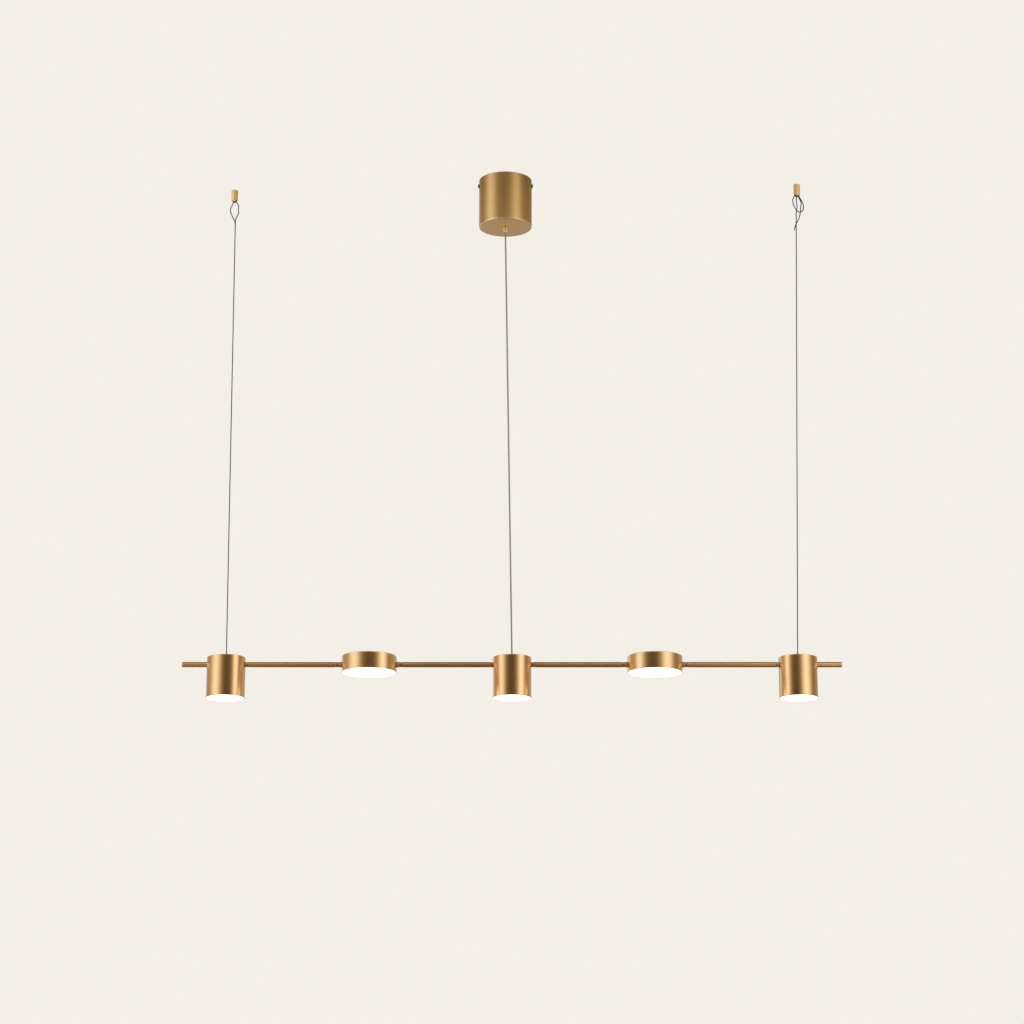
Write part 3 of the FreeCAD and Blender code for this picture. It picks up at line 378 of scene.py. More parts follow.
def startMaterial(name, centre=(0, 0, 0), turn=(0, 0, 0)):
    # a material's tree, its shader and its pattern's coordinates, centred on the piece
    material = bpy.data.materials.new(name)
    material.use_nodes = True
    tree = material.node_tree
    place = put(tree, "ShaderNodeTexCoord")["Object"]
    centred = joined("ShaderNodeMapping", {"Vector": place, "Location": -Vector(centre)})
    turned = joined("ShaderNodeMapping", {"Vector": centred["Vector"], "Rotation": turn})
    return material, tree, tree.nodes["Principled BSDF"], turned["Vector"]


def patchesOf(place, look):
    return useGroup(handling, {
        "Vector": place, "Size": look["patchSize"], "Contrast": look["patchContrast"]})["Patches"]


def metalFinish(name, look, centre=(0, 0, 0), turn=(0, 0, 0)):
    # brushed or satin metal: lines, slow patches, worn edges and a little dust
    material, tree, shader, place = startMaterial(name, centre, turn)
    lines = useGroup(brushLines, {
        "Vector": place, "Around": look["around"], "Along": look["along"], "Outward": look["outward"]})
    patches = patchesOf(place, look)
    edge = put(tree, "ShaderNodeAttribute", attribute_name="edge")["Fac"]
    worn = useGroup(wornEdge, {"Vector": place, "Edge": edge})["Mask"]
    settled = useGroup(dust, {"Vector": place, "Amount": look["dust"]})["Mask"]
    tone = mixColour(patches, look["deep"], look["light"])
    tone = mixColour(times(lines["Streaks"], look["streak"]), tone, look["deep"])
    tone = mixColour(times(worn, look["wear"]), tone, look["bare"])
    rough = calc("MULTIPLY_ADD", lines["Lines"], look["roughSpread"], look["rough"])
    rough = calc("MULTIPLY_ADD", patches, look["roughSpread"], rough)
    bump = joined("ShaderNodeBump", {
        "Height": lines["Lines"], "Strength": look["bump"], "Distance": look["lineDepth"]})
    setInputs(shader, {
        "Base Color": mixColour(settled, tone, dustColour),
        "Roughness": calc("ADD", rough, settled), "Normal": bump["Normal"],
        "Metallic": calc("SUBTRACT", 1.0, settled), "Coat Weight": look["lacquer"],
        "Coat Roughness": look["lacquerRough"]})
    return material


def plasticFinish(name, look):
    # moulded plastic: a fine spark-eroded grain, slow unevenness and dust
    material, _, shader, place = startMaterial(name)
    settled = useGroup(dust, {"Vector": place, "Amount": look["dust"]})["Mask"]
    grain = noiseOf(place, look["grain"], grainNoise["detail"], Roughness=grainNoise["rough"])
    tone = mixColour(patchesOf(place, look), look["deep"], look["light"])
    bump = joined("ShaderNodeBump", {
        "Height": grain, "Strength": look["bump"], "Distance": look["grainDepth"]})
    setInputs(shader, {
        "Base Color": mixColour(settled, tone, dustColour), "Normal": bump["Normal"],
        "Roughness": calc("MULTIPLY_ADD", grain, look["roughSpread"], look["rough"])})
    return material


headBrass = {
    "deep": (0.74, 0.455, 0.165, 1), "light": (0.86, 0.55, 0.225, 1), "bare": (0.93, 0.68, 0.34, 1),
    "rough": 0.165, "roughSpread": 0.06, "bump": 0.10, "lineDepth": 0.00004, "streak": 0.30,
    "around": 2.0, "along": 2200.0, "outward": 2200.0, "wear": 0.5, "patchSize": 45.0,
    "patchContrast": 0.9, "dust": 0.10, "lacquer": 0.2, "lacquerRough": 0.12}
canopyBrass = {
    **headBrass, "deep": (0.66, 0.405, 0.13, 1), "light": (0.77, 0.49, 0.17, 1), "rough": 0.235,
    "along": 1700.0, "outward": 1700.0, "lacquer": 0.0}
barBrass = {**headBrass, "around": 220.0, "along": 14.0, "outward": 900.0, "bump": 0.05, "rough": 0.25}
fittingBrass = {
    **headBrass, "deep": (0.60, 0.36, 0.13, 1), "light": (0.74, 0.46, 0.18, 1), "along": 5200.0,
    "outward": 5200.0}
goldBrass = {
    **headBrass, "deep": (0.86, 0.585, 0.19, 1), "light": (0.95, 0.68, 0.26, 1),
    "bare": (0.96, 0.78, 0.46, 1), "along": 5200.0, "outward": 5200.0, "rough": 0.50, "streak": 0.12,
    "roughSpread": 0.03, "bump": 0.03}
# painted shade: the side screws' near-black colour stands for brass screw heads in shade, not for a dark
# metal; only the bare worn edges show the brass
screwInPaintedShade = {
    **headBrass, "deep": (0.045, 0.028, 0.018, 1), "light": (0.10, 0.062, 0.038, 1),
    "bare": (0.30, 0.19, 0.11, 1), "rough": 0.32, "along": 4000.0, "outward": 4000.0, "lacquer": 0.0}
zincSteel = {
    **headBrass, "deep": (0.44, 0.45, 0.46, 1), "light": (0.60, 0.61, 0.62, 1),
    "bare": (0.72, 0.73, 0.74, 1), "rough": 0.30, "around": 30.0, "along": 700.0, "outward": 30.0,
    "lacquer": 0.0, "patchSize": 90.0}
aluminium = {**zincSteel, "deep": (0.66, 0.67, 0.68, 1), "light": (0.80, 0.81, 0.82, 1), "rough": 0.26}
# painted shade: the wire's very dark colour stands for the shade between its strands and the dark
# surroundings they mirror, put into the steel's own colour
wireWithPaintedShade = {
    **zincSteel, "deep": (0.070, 0.065, 0.062, 1), "light": (0.130, 0.122, 0.116, 1), "rough": 0.36,
    "around": 3.0, "along": 900.0, "patchSize": 400.0, "bump": 0.1}
driverPlastic = {
    "deep": (0.76, 0.76, 0.74, 1), "light": (0.86, 0.86, 0.84, 1), "rough": 0.36, "roughSpread": 0.14,
    "grain": 2600.0, "grainDepth": 0.00005, "bump": 0.35, "patchSize": 50.0, "patchContrast": 0.8,
    "dust": 0.20}
terminalPlastic = {**driverPlastic, "deep": (0.60, 0.56, 0.44, 1), "light": (0.72, 0.68, 0.56, 1)}
cordPlastic = {
    **driverPlastic, "deep": (0.20, 0.17, 0.165, 1), "light": (0.28, 0.245, 0.24, 1), "rough": 0.38,
    "grain": 1800.0, "bump": 0.2, "patchSize": 120.0, "dust": 0.05}
cableWhite = {**driverPlastic, "rough": 0.42, "grain": 3000.0}
boardWhite = {
    **driverPlastic, "deep": (0.80, 0.80, 0.78, 1), "light": (0.88, 0.88, 0.86, 1), "rough": 0.22,
    "grain": 4000.0, "bump": 0.1, "dust": 0.0}

quarterTurn = (0, math.pi / 2, 0)
barMiddle = middleOf("bar_tube_inner_left")
lengthwiseBrass = metalFinish("lengthwiseBrass", barBrass, barMiddle, quarterTurn)
fittingMetal = metalFinish("fittingMetal", fittingBrass, barMiddle, quarterTurn)
plainZinc = metalFinish("plainZinc", zincSteel)
plainAluminium = metalFinish("plainAluminium", aluminium)
# the wires' and loops' finish, darkened with the painted shade of the look above
ropeSteel = metalFinish("ropeSteel", wireWithPaintedShade)
# the side screws' finish, with the painted shade of the look above
darkScrew = metalFinish("darkScrew", screwInPaintedShade, middleOf("canopy_side_screws"), quarterTurn)
driverShell = plasticFinish("driverShell", driverPlastic)
terminalShell = plasticFinish("terminalShell", terminalPlastic)
cordSheath = plasticFinish("cordSheath", cordPlastic)
cableSheath = plasticFinish("cableSheath", cableWhite)
reflectorPlastic = plasticFinish("reflectorPlastic", boardWhite)

opalLook = {
    "centre": (1.0, 0.985, 0.94, 1), "rim": (1.0, 0.86, 0.62, 1), "rimFrom": 0.86,
    "deep": (0.86, 0.85, 0.82, 1), "light": (0.92, 0.91, 0.88, 1), "strength": 1.3, "unevenness": 0.06,
    "rough": 0.28, "roughSpread": 0.1, "patchSize": 30.0, "patchContrast": 0.2}
boardLook = {
    **boardWhite, "patchSize": 80.0, "patchContrast": 0.5, "rough": 0.25, "chipRough": 0.2,
    "chip": (0.85, 0.62, 0.12, 1), "thickness": 1.2, "skin": 0.05}


def opalFinish(name, centre, radius):
    # a lit diffuser: even and white, a little warmer and dimmer at its rim
    material, _, shader, place = startMaterial(name, centre)
    away = calc("DIVIDE", radiusOf(partsOf(place)), radius)
    patches = patchesOf(place, opalLook)
    glow = mixColour(ramp(away, opalLook["rimFrom"], 1.0), opalLook["centre"], opalLook["rim"])
    uneven = times(patches, opalLook["unevenness"])
    setInputs(shader, {
        "Emission Color": mixColour(uneven, glow, opalLook["rim"]),
        "Emission Strength": opalLook["strength"],
        "Base Color": mixColour(patches, opalLook["deep"], opalLook["light"]),
        "Roughness": calc("MULTIPLY_ADD", patches, opalLook["roughSpread"], opalLook["rough"])})
    return material


def boardFinish(name, boardBottom):
    # white solder mask, with yellow phosphor on the chips below it
    material, _, shader, place = startMaterial(name, (0, 0, boardBottom))
    isChip = calc("LESS_THAN", partsOf(place)["Z"], -boardLook["skin"] * mm)
    mask = mixColour(patchesOf(place, boardLook), boardLook["deep"], boardLook["light"])
    setInputs(shader, {
        "Base Color": mixColour(isChip, mask, boardLook["chip"]),
        "Roughness": calc("MULTIPLY_ADD", isChip, boardLook["chipRough"], boardLook["rough"])})
    return material


print("finishes made")


# geometry trees for what repeats or follows a line

def closeTree(out, geometry, material):
    # every tree ends alike: real geometry with its finish
    real = joined("GeometryNodeRealizeInstances", {"Geometry": geometry})
    painted = joined("GeometryNodeSetMaterial", {"Geometry": real["Geometry"], "Material": material})
    setInputs(out, {"Geometry": painted["Geometry"]})


def smoothOf(mesh):
    return joined("GeometryNodeSetShadeSmooth", {"Geometry": mesh})["Geometry"]


def makeRopeTree():
    # a laid rope or a plain tube along the curve that it is given
    tree, given, out = newGroup("ropeAlongLine", "GeometryNodeTree", {
        "Geometry": "Geometry", "Diameter": 0.0015, "Strands": 6, "Groove": 0.25, "Lay": 0.009,
        "Step": 0.001, "Sides": 24, "Material": "Material"}, {"Geometry": "Geometry"})
    line = joined("GeometryNodeResampleCurve", {
        "Curve": given["Geometry"], "Length": given["Step"]}, mode="LENGTH")
    along = put(tree, "GeometryNodeSplineParameter")["Length"]
    tilted = joined("GeometryNodeSetCurveTilt", {
        "Curve": line["Curve"], "Tilt": times(calc("DIVIDE", along, given["Lay"]), 2 * math.pi)})
    circle = joined("GeometryNodeCurvePrimitiveCircle", {
        "Resolution": given["Sides"], "Radius": times(given["Diameter"], 0.5)})
    step = calc("DIVIDE", put(tree, "GeometryNodeInputIndex")[0], given["Sides"])
    angle = times(step, 2 * math.pi, given["Strands"])
    dip = calc("MULTIPLY_ADD", calc("COSINE", angle), -0.5, 0.5)
    share = calc("SUBTRACT", 1.0, times(dip, given["Groove"]))
    place = put(tree, "GeometryNodeInputPosition")["Position"]
    drawn = joined("ShaderNodeVectorMath", {0: place, "Scale": share}, operation="SCALE")
    lobed = joined("GeometryNodeSetPosition", {
        "Geometry": circle["Curve"], "Position": drawn["Vector"]})
    skin = joined("GeometryNodeCurveToMesh", {
        "Curve": tilted["Curve"], "Profile Curve": lobed["Geometry"], "Fill Caps": True})
    closeTree(out, smoothOf(skin["Mesh"]), given["Material"])
    return tree


def makeRingTree():
    # one rounded ring, on its axis along X, set at each point that it is given
    tree, given, out = newGroup("ringsOnBar", "GeometryNodeTree", {
        "Geometry": "Geometry", "Outer": 0.005, "Bore": 0.0035, "Length": 0.004, "Rounding": 0.001,
        "Arc Steps": 5, "Sides": 72, "Material": "Material"}, {"Geometry": "Geometry"})
    wall = calc("SUBTRACT", given["Outer"], given["Bore"])
    section = joined("GeometryNodeCurvePrimitiveQuadrilateral", {
        "Width": wall, "Height": given["Length"]})
    rounded = joined("GeometryNodeFilletCurve", {
        "Curve": section["Curve"], "Radius": given["Rounding"], "Count": given["Arc Steps"]}, mode="POLY")
    middle = times(calc("ADD", given["Outer"], given["Bore"]), 0.5)
    path = joined("GeometryNodeCurvePrimitiveCircle", {"Resolution": given["Sides"], "Radius": middle})
    ring = joined("GeometryNodeCurveToMesh", {
        "Curve": path["Curve"], "Profile Curve": rounded["Curve"]})
    places = joined("GeometryNodeInstanceOnPoints", {
        "Points": given["Geometry"], "Instance": smoothOf(ring["Mesh"]), "Rotation": quarterTurn})
    closeTree(out, places["Instances"], given["Material"])
    return tree


def makeCopiesTree():
    # a finished small piece, set at each point and turned to look along the point's own direction
    tree, given, out = newGroup("copiesAtPoints", "GeometryNodeTree", {
        "Geometry": "Geometry", "Piece": "Object", "Material": "Material"}, {"Geometry": "Geometry"})
    piece = joined("GeometryNodeObjectInfo", {"Object": given["Piece"]})
    look = put(tree, "GeometryNodeInputNamedAttribute", {"Name": "direction"}, data_type="FLOAT_VECTOR")
    turn = joined("FunctionNodeAlignRotationToVector", {"Vector": look["Attribute"]}, axis="Z")
    places = joined("GeometryNodeInstanceOnPoints", {
        "Points": given["Geometry"], "Instance": piece["Geometry"], "Rotation": turn["Rotation"]})
    closeTree(out, places["Instances"], given["Material"])
    return tree


ropeTree = makeRopeTree()
ringTree = makeRingTree()
copiesTree = makeCopiesTree()


def runTree(holder, tree, values, name):
    # inputs are set by their sockets' identifiers, before the first evaluation
    modifier = holder.modifiers.new(tree.name, "NODES")
    modifier.node_group = tree
    identifiers = {item.name: item.identifier for item in tree.interface.items_tree
                   if item.item_type == "SOCKET" and item.in_out == "INPUT"}
    for key, value in values.items():
        modifier[identifiers[key]] = value
    return plainMeshOf(holder, name)


def pointsMesh(places, directions=None):
    mesh = bpy.data.meshes.new("places")
    mesh.from_pydata([tuple(place) for place in places], [], [])
    if directions:
        layer = mesh.attributes.new("direction", "FLOAT_VECTOR", "POINT")
        for index, direction in enumerate(directions):
            layer.data[index].vector = direction
    return mesh


print("geometry trees made")


# cords: the routes' points are the control points of smooth lines

lineSteps = 24             # points of the smooth line for each point of its route


def routeCurve(name, points):
    curve = bpy.data.curves.new(name, "CURVE")
    curve.dimensions = "3D"
    curve.twist_mode = "MINIMUM"
    curve.resolution_u = lineSteps
    spline = curve.splines.new("NURBS")
    spline.points.add(len(points) - 1)
    for knot, point in zip(spline.points, points):
        knot.co = (*point, 1.0)
    spline.order_u = 3
    spline.use_endpoint_u = True
    return curve


def linePoints(curve):
    holder = holderOf(curve)
    bpy.context.view_layer.update()
    line = bpy.data.meshes.new_from_object(holder)
    points = [tuple(vertex.co) for vertex in line.vertices]
    bpy.data.meshes.remove(line)
    bpy.data.objects.remove(holder)
    return points


def addTube(name, points, look, material, body, node):
    # the tube as a piece, and the points of the smooth line that it follows
    curve = routeCurve(name, points)
    path = linePoints(curve)
    values = {key.capitalize(): value for key, value in look.items()}
    mesh = runTree(holderOf(curve), ropeTree, {**values, "Material": material}, name)
    return addPiece(name, mesh, material, body, node), path


wireLook = {"diameter": 0.0020, "strands": 6, "groove": 0.26, "lay": 0.010, "step": 0.0009, "sides": 30}
loopLook = {**wireLook, "step": 0.0006}
cordLook = {"diameter": 0.003, "strands": 2, "groove": 0.05, "lay": 0.045, "step": 0.003, "sides": 24}
leadLook = {"diameter": 0.0018, "strands": 1, "groove": 0.0, "lay": 1.0, "step": 0.0008, "sides": 20}

swingLevel = -0.104        # where the lines leave the gland and the loops
barLevel = -0.927          # where the wires end in their studs
straightEnd = 0.012        # a taut line keeps straight this near its ends
anchorLip = 0.003          # how far an anchor's two lips hang below its mouth


def tautLine(name, node, top, bottom, look, material):
    upper, lower = Vector(top), Vector(bottom)
    along = (lower - upper).normalized() * straightEnd
    route = [tuple(point) for point in (upper, upper + along, lower - along, lower)]
    piece, path = addTube(name, route, look, material, None, node)
    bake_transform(piece)


# the loops' lengths, and their routes in mm: across, back and up from the middle of the anchor's mouth
leftLoop = {
    "start": (2.7, 0), "length": 0.1422,
    "route": (
        (2.7, 0, -50), (2.3, 0, -39.5), (5.6, 0, -31.5), (8.9, 0, -25.4), (7.5, 0, -19.5),
        (8.5, 0, -12.5), (6.6, 0, -6.6), (2.6, 0, -1.4), (2, 0, 3.5), (2, 0, 8.7), (-2, 0, 8.7),
        (-2, 0, -2), (-3.8, 0, -9), (-7.4, 0, -14.6), (-7.5, 0, -21), (-5.2, 0.3, -28),
        (-2.2, 1.4, -34.6), (0.8, 2.7, -39.6), (2.2, 2.8, -45.6), (2.5, 2.7, -52))}
rightLoop = {
    "start": (-3.2, 0), "length": 0.2625,
    "route": (
        (-3.2, 0, -70), (-2.6, 0.4, -52), (-2, 1.4, -34), (0.3, 1.5, -25.6), (-1.1, 0.7, -15),
        (-1.3, 0, -5), (0.2, 0, 3), (0.2, 0, 8.7), (-3.3, 0, 8.7), (-3.3, 0, 2), (-3.9, -0.6, -2.2),
        (-8, -1, -7.6), (-8.6, -1.3, -15), (-6, -1.4, -24.6), (-1.4, -1.4, -32.6), (4, -1.3, -36.6),
        (9.6, -1, -33.8), (12.6, -0.6, -26), (10.8, -0.3, -16.8), (7.2, 0, -9), (3.3, 0, -2.4),
        (3.3, 0, 2.6), (1.3, 2.8, 2.6), (2.7, 2.2, -3.2), (6.4, 2.8, -9.6), (8.6, 2.8, -16),
        (6.8, 2.4, -24), (6, 2.1, -35.4), (3.9, 2.4, -44), (1, 2.8, -51.6), (-2.6, 3.1, -58),
        (-6, 1.9, -66), (-6, 1.3, -71.5))}


def mouthOf(anchor):
    return roundSize(anchor)[2] + Vector((0, 0, anchorLip))


def loopTop(anchor, loop):
    across, back = loop["start"]
    return (mouthOf(anchor).x + across * mm, back * mm, swingLevel)


def tiedLoop(name, node, anchor, loop):
    exit = loopTop(anchor, loop)
    mouth = mouthOf(anchor)
    points = [exit] + [tuple(mouth + Vector(offset) * mm) for offset in loop["route"]]
    piece, path = addTube(name, points, loopLook, ropeSteel, "ceiling_set", node)


leftSpot = middleOf("spot_left_shell")
middleSpot = middleOf("spot_middle_shell")
rightSpot = middleOf("spot_right_shell")
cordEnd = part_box("flex_cord")[0][2]

tautLine("suspensionWireLeft", "suspension_wire_left", loopTop("ceiling_anchor_left", leftLoop),
         (leftSpot.x, 0.0, barLevel), wireLook, ropeSteel)
tautLine("suspensionWireRight", "suspension_wire_right", loopTop("ceiling_anchor_right", rightLoop),
         (rightSpot.x, 0.0, barLevel), wireLook, ropeSteel)
tautLine("supplyCord", "flex_cord", (0.0, 0.0, swingLevel), (middleSpot.x, 0.0, cordEnd),
         cordLook, cordSheath)
tiedLoop("wireLoopLeft", "wire_loop_left", "ceiling_anchor_left", leftLoop)
tiedLoop("wireLoopRight", "wire_loop_right", "ceiling_anchor_right", rightLoop)
print("cords made")


# ceiling set

canopyShape = {
    "wall": 1.2, "lowerEdge": 1.6, "rim": 0.3, "inside": 0.8, "glandHole": 4.05, "steps": 192}


def makeCanopy():
    shape = canopyShape
    outer, height, foot = roundSize("canopy_cup")
    inner, hole = outer - shape["wall"], shape["glandHole"]
    section = [(hole, 0, 0), (outer, 0, shape["lowerEdge"]), (outer, height, shape["rim"]),
               (inner, height, shape["rim"]), (inner, shape["wall"], shape["inside"]),
               (hole, shape["wall"], 0)]
    finish = metalFinish("canopyMetal", canopyBrass, foot)
    addTurned("canopyCup", section, foot, finish, "ceiling_set", "canopy_cup",
              steps=shape["steps"])


# widths are across; the bore is a radius
glandShape = {
    "flange": 11.0, "flangeHeight": 4.4, "flangeEdge": 0.8, "flangeTopEdge": 0.2, "thread": 8.0,
    "threadEdge": 0.3, "spigot": 5.6, "spigotEdge": 0.2, "cap": 8.0, "capEdge": 1.2, "capRim": 0.3,
    "clearance": 0.05, "bore": 1.7}


def makeGland():
    shape = glandShape
    low, high = nodeBox("gland_body")
    capLow, capHigh = nodeBox("gland_cap")
    centre = Vector((0, 0, capHigh.z))
    foot, top, capFoot = ((level - centre.z) / mm for level in (low.z, high.z, capLow.z))
    flange, thread, spigot, cap = (shape[part] / 2 for part in ("flange", "thread", "spigot", "cap"))
    bore, rise, socket = shape["bore"], shape["flangeHeight"], spigot + shape["clearance"]
    finish = metalFinish("glandMetal", goldBrass)
    body = [(bore, foot, 0), (spigot, foot, shape["spigotEdge"]), (spigot, 0, 0),
            (flange, 0, shape["flangeEdge"]), (flange, rise, shape["flangeTopEdge"]), (thread, rise, 0),
            (thread, top, shape["threadEdge"]), (bore, top, 0)]
    cover = [(bore, capFoot, shape["capRim"]), (cap, capFoot, shape["capEdge"]),
             (cap, 0, shape["capRim"]), (socket, 0, 0), (socket, foot, 0), (bore, foot, 0)]
    addTurned("glandBody", body, centre, finish, "ceiling_set", "gland_body")
    addTurned("glandCap", cover, centre, finish, "ceiling_set", "gland_cap")


anchorShape = {
    "mouth": 4.6, "mouthDepth": 10.0, "mouthEdge": 0.3, "lowerEdge": 1.0, "upperEdge": 0.8,
    "thread": 2.1, "threadDepth": 8.0, "threadEdge": 0.4, "screwHole": 2.05, "screwRise": 6.6,
    "holeSteps": 40, "lip": anchorLip / mm, "lipWidth": 5.6, "lipRounding": 1.4, "beyond": 2.0}


def besideLips(centre, outer):
    # what is taken away beside and under the two lips: an outline seen from the front, drawn through
    shape = anchorShape
    lip, edge, beyond = shape["lip"], shape["lipRounding"], shape["beyond"]
    bend = shape["lipWidth"] / 2 - edge
    reach = outer + beyond
    steps = cornerArc["steps"]
    outline = [(-reach, 0), (-bend - edge, 0)]
    for side, start in ((-1, math.pi), (1, 1.5 * math.pi)):
        for step in range(steps + 1):
            angle = start + step / steps * math.pi / 2
            outline.append((side * bend + edge * math.cos(angle), edge - lip + edge * math.sin(angle)))
    outline += [(bend + edge, 0), (reach, 0), (reach, -lip - beyond), (-reach, -lip - beyond)]
    bm = bmesh.new()
    face = bm.faces.new([bm.verts.new((x * mm, -reach * mm, z * mm)) for x, z in outline])
    drawn = bmesh.ops.extrude_face_region(bm, geom=[face])
    far = [item for item in drawn["geom"] if isinstance(item, bmesh.types.BMVert)]
    bmesh.ops.translate(bm, vec=(0, 2 * reach * mm, 0), verts=far)
    bmesh.ops.translate(bm, vec=centre, verts=bm.verts)
    bmesh.ops.recalc_face_normals(bm, faces=bm.faces)
    return meshFrom(bm, "besideLips")


def makeAnchor(name, node):
    shape = anchorShape
    outer, height, _ = roundSize(node)
    centre = mouthOf(node)
    lip, mouth, thread, depth = shape["lip"], shape["mouth"], shape["thread"], shape["mouthDepth"]
    top = height - lip
    floor = top - shape["threadDepth"]
    section = [(mouth, -lip, shape["mouthEdge"]), (outer, -lip, shape["lowerEdge"]),
               (outer, top, shape["upperEdge"]), (thread, top, shape["threadEdge"]),
               (thread, floor, 0), (0, floor, 0), (0, depth, 0), (mouth, depth, 0)]
    hole, reach = shape["screwHole"], outer + shape["beyond"]
    bored = [(0, 0, 0), (hole, 0, 0), (hole, reach, 0), (0, reach, 0)]
    knife = turnedMesh("knife", bored, origin, steps=shape["holeSteps"])
    lift = Matrix.Translation(centre + Vector((0, 0, shape["screwRise"] * mm)))
    knife.transform(lift @ Matrix.Rotation(-math.pi / 2, 4, "X"))
    mesh = cutMesh(cutMesh(turnedMesh(name, section, centre), knife), besideLips(centre, outer))
    mesh.set_sharp_from_angle(angle=sharpAngle)
    finish = metalFinish(name + "Metal", goldBrass, centre)
    addPiece(name, mesh, finish, "ceiling_set", node)


screwShape = {
    "head": 3.8, "headHeight": 2.4, "headEdge": 1.3, "seatEdge": 0.15, "shank": 2.0, "shankLength": 7.6,
    "tipEdge": 0.3, "slotWidth": 1.0, "slotDepth": 1.0, "steps": 48}
terminalScrew = {
    **screwShape, "head": 2.4, "headHeight": 1.6, "headEdge": 0.3, "shank": 1.5, "shankLength": 1.5,
    "slotWidth": 0.7, "slotDepth": 0.7}
terminalShape = {"wellDepth": 5.0, "poles": 3}


def screwMesh(shape):
    # a slotted pan head on its seat at height 0, its shank below
    head, shank, top, foot = shape["head"], shape["shank"], shape["headHeight"], -shape["shankLength"]
    section = [(0, foot, 0), (shank, foot, shape["tipEdge"]), (shank, 0, 0),
               (head, 0, shape["seatEdge"]), (head, top, shape["headEdge"]), (0, top, 0)]
    bm = bmesh.new()
    bmesh.ops.create_cube(bm, size=1)
    slot = Matrix.Diagonal((head * 3 * mm, shape["slotWidth"] * mm, shape["slotDepth"] * 2 * mm, 1))
    bmesh.ops.transform(bm, matrix=Matrix.Translation((0, 0, top * mm)) @ slot, verts=bm.verts)
    made = cutMesh(turnedMesh("screw", section, origin, steps=shape["steps"]), meshFrom(bm, "slot"))
    made.set_sharp_from_angle(angle=sharpAngle)
    return made


def addScrews(name, shape, places, directions, material, node=None):
    master = holderOf(screwMesh(shape))
    mesh = runTree(holderOf(pointsMesh(places, directions)), copiesTree, {
        "Piece": master, "Material": material}, name)
    bpy.data.objects.remove(master)
    addPiece(name, mesh, material, "ceiling_set", node)


def makeSideScrews():
    low, high = nodeBox("canopy_cup")
    level = middleOf("canopy_side_screws").z
    addScrews("canopySideScrews", screwShape, [(low.x, 0, level), (high.x, 0, level)],
              [(-1, 0, 0), (1, 0, 0)], darkScrew, "canopy_side_screws")


def makeTerminalScrews():
    low, high = nodeBox("terminal_block")
    poles = terminalShape["poles"]
    pitch = (high.x - low.x) / poles
    floor = low.y + (terminalShape["wellDepth"] - terminalScrew["shankLength"]) * mm
    places = [(low.x + pitch * (pole + 0.5), floor, (low.z + high.z) / 2) for pole in range(poles)]
    addScrews("terminalScrews", terminalScrew, places, [(0, -1, 0)] * poles, plainZinc)


leadColours = {
    "Live": (0.16, 0.055, 0.02, 1), "Neutral": (0.02, 0.09, 0.36, 1), "Earth": (0.10, 0.34, 0.05, 1)}
leadShape = {"earthX": -0.0195, "earthTop": -0.0038, "dust": 0.1}


def makeLead(name, points):
    colour = leadColours[name]
    look = {**driverPlastic, "deep": colour, "light": colour, "dust": leadShape["dust"]}
    finish = plasticFinish("lead" + name, look)
    addTube("lead" + name, points, leadLook, finish, "ceiling_set", "mains_leads")


def makeLeads():
    low, high = nodeBox("terminal_block")
    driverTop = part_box("driver_case")[1][2]
    pitch = (high.x - low.x) / terminalShape["poles"]
    for name, x in (("Live", 0.0), ("Neutral", pitch)):
        makeLead(name, [(x, 0, driverTop), (x, 0, (low.z + driverTop) / 2), (x, 0, low.z)])
    level = low.z + (high.z - low.z) / 3
    x = leadShape["earthX"]
    makeLead("Earth", [(low.x, 0, level), (x, 0, level), (x, 0, leadShape["earthTop"])])


def makeInnerCord():
    low, high = nodeBox("inner_cord")
    points = [(0, 0, low.z), (0, 0, (low.z + high.z) / 2), (0, 0, high.z)]
    addTube("innerCord", points, cordLook, cordSheath, "ceiling_set", "inner_cord")


def addBroken(name, node, material, width):
    addPiece(name, bevelledCopy(node, width), material, "ceiling_set", node)


makeCanopy()
makeGland()
makeAnchor("ceilingAnchorLeft", "ceiling_anchor_left")
makeAnchor("ceilingAnchorRight", "ceiling_anchor_right")
makeSideScrews()
addBroken("terminalBlock", "terminal_block", terminalShell, width=0.35)
makeTerminalScrews()
makeLeads()
makeInnerCord()
addBroken("ceilingStrap", "ceiling_bracket", plainZinc, width=0.3)
addBroken("driverCase", "driver_case", driverShell, width=0.5)
addBroken("driverCover", "driver_cover", driverShell, width=0.4)
print("ceiling set made")


# bar and its fittings

leftDrum = middleOf("drum_left_shell")
rightDrum = middleOf("drum_right_shell")
spotSides = ((leftSpot, 1), (middleSpot, -1), (middleSpot, 1), (rightSpot, -1))
drumSides = ((leftDrum, -1), (leftDrum, 1), (rightDrum, -1), (rightDrum, 1))
barShape = {"tubeBore": 3.55, "tubeEdge": 0.3, "plugHeight": 1.5, "plugEdge": 0.35, "steps": 72}
fittings = {
    "spot_necks": {"sides": spotSides, "away": 37.4, "outer": 4.6, "length": 7.2, "rounding": 0.35},
    "swivel_rings": {"sides": drumSides, "away": 52.1, "outer": 5.3, "length": 3.6, "rounding": 1.2},
    "swivel_collars": {"sides": drumSides, "away": 57.6, "outer": 4.6, "length": 7.4, "rounding": 0.6}}


def addRod(name, node, middle, half, bore, edge, material):
    # a round length of the bar, along X; half is half its length in mm
    low, high = nodeBox(node)
    outer = (high.z - low.z) / 2 / mm
    section = [(bore, -half, 0), (outer, -half, edge), (outer, half, edge), (bore, half, 0)]
    addTurned(name, section, Vector((middle, 0, barMiddle.z)), material, "light_bar",
              node, axis="x", steps=barShape["steps"])


def makeBarTube(node):
    low, high = nodeBox(node)
    addRod(pieceName(node), node, (low.x + high.x) / 2, (high.x - low.x) / 2 / mm, barShape["tubeBore"],
           barShape["tubeEdge"], lengthwiseBrass)


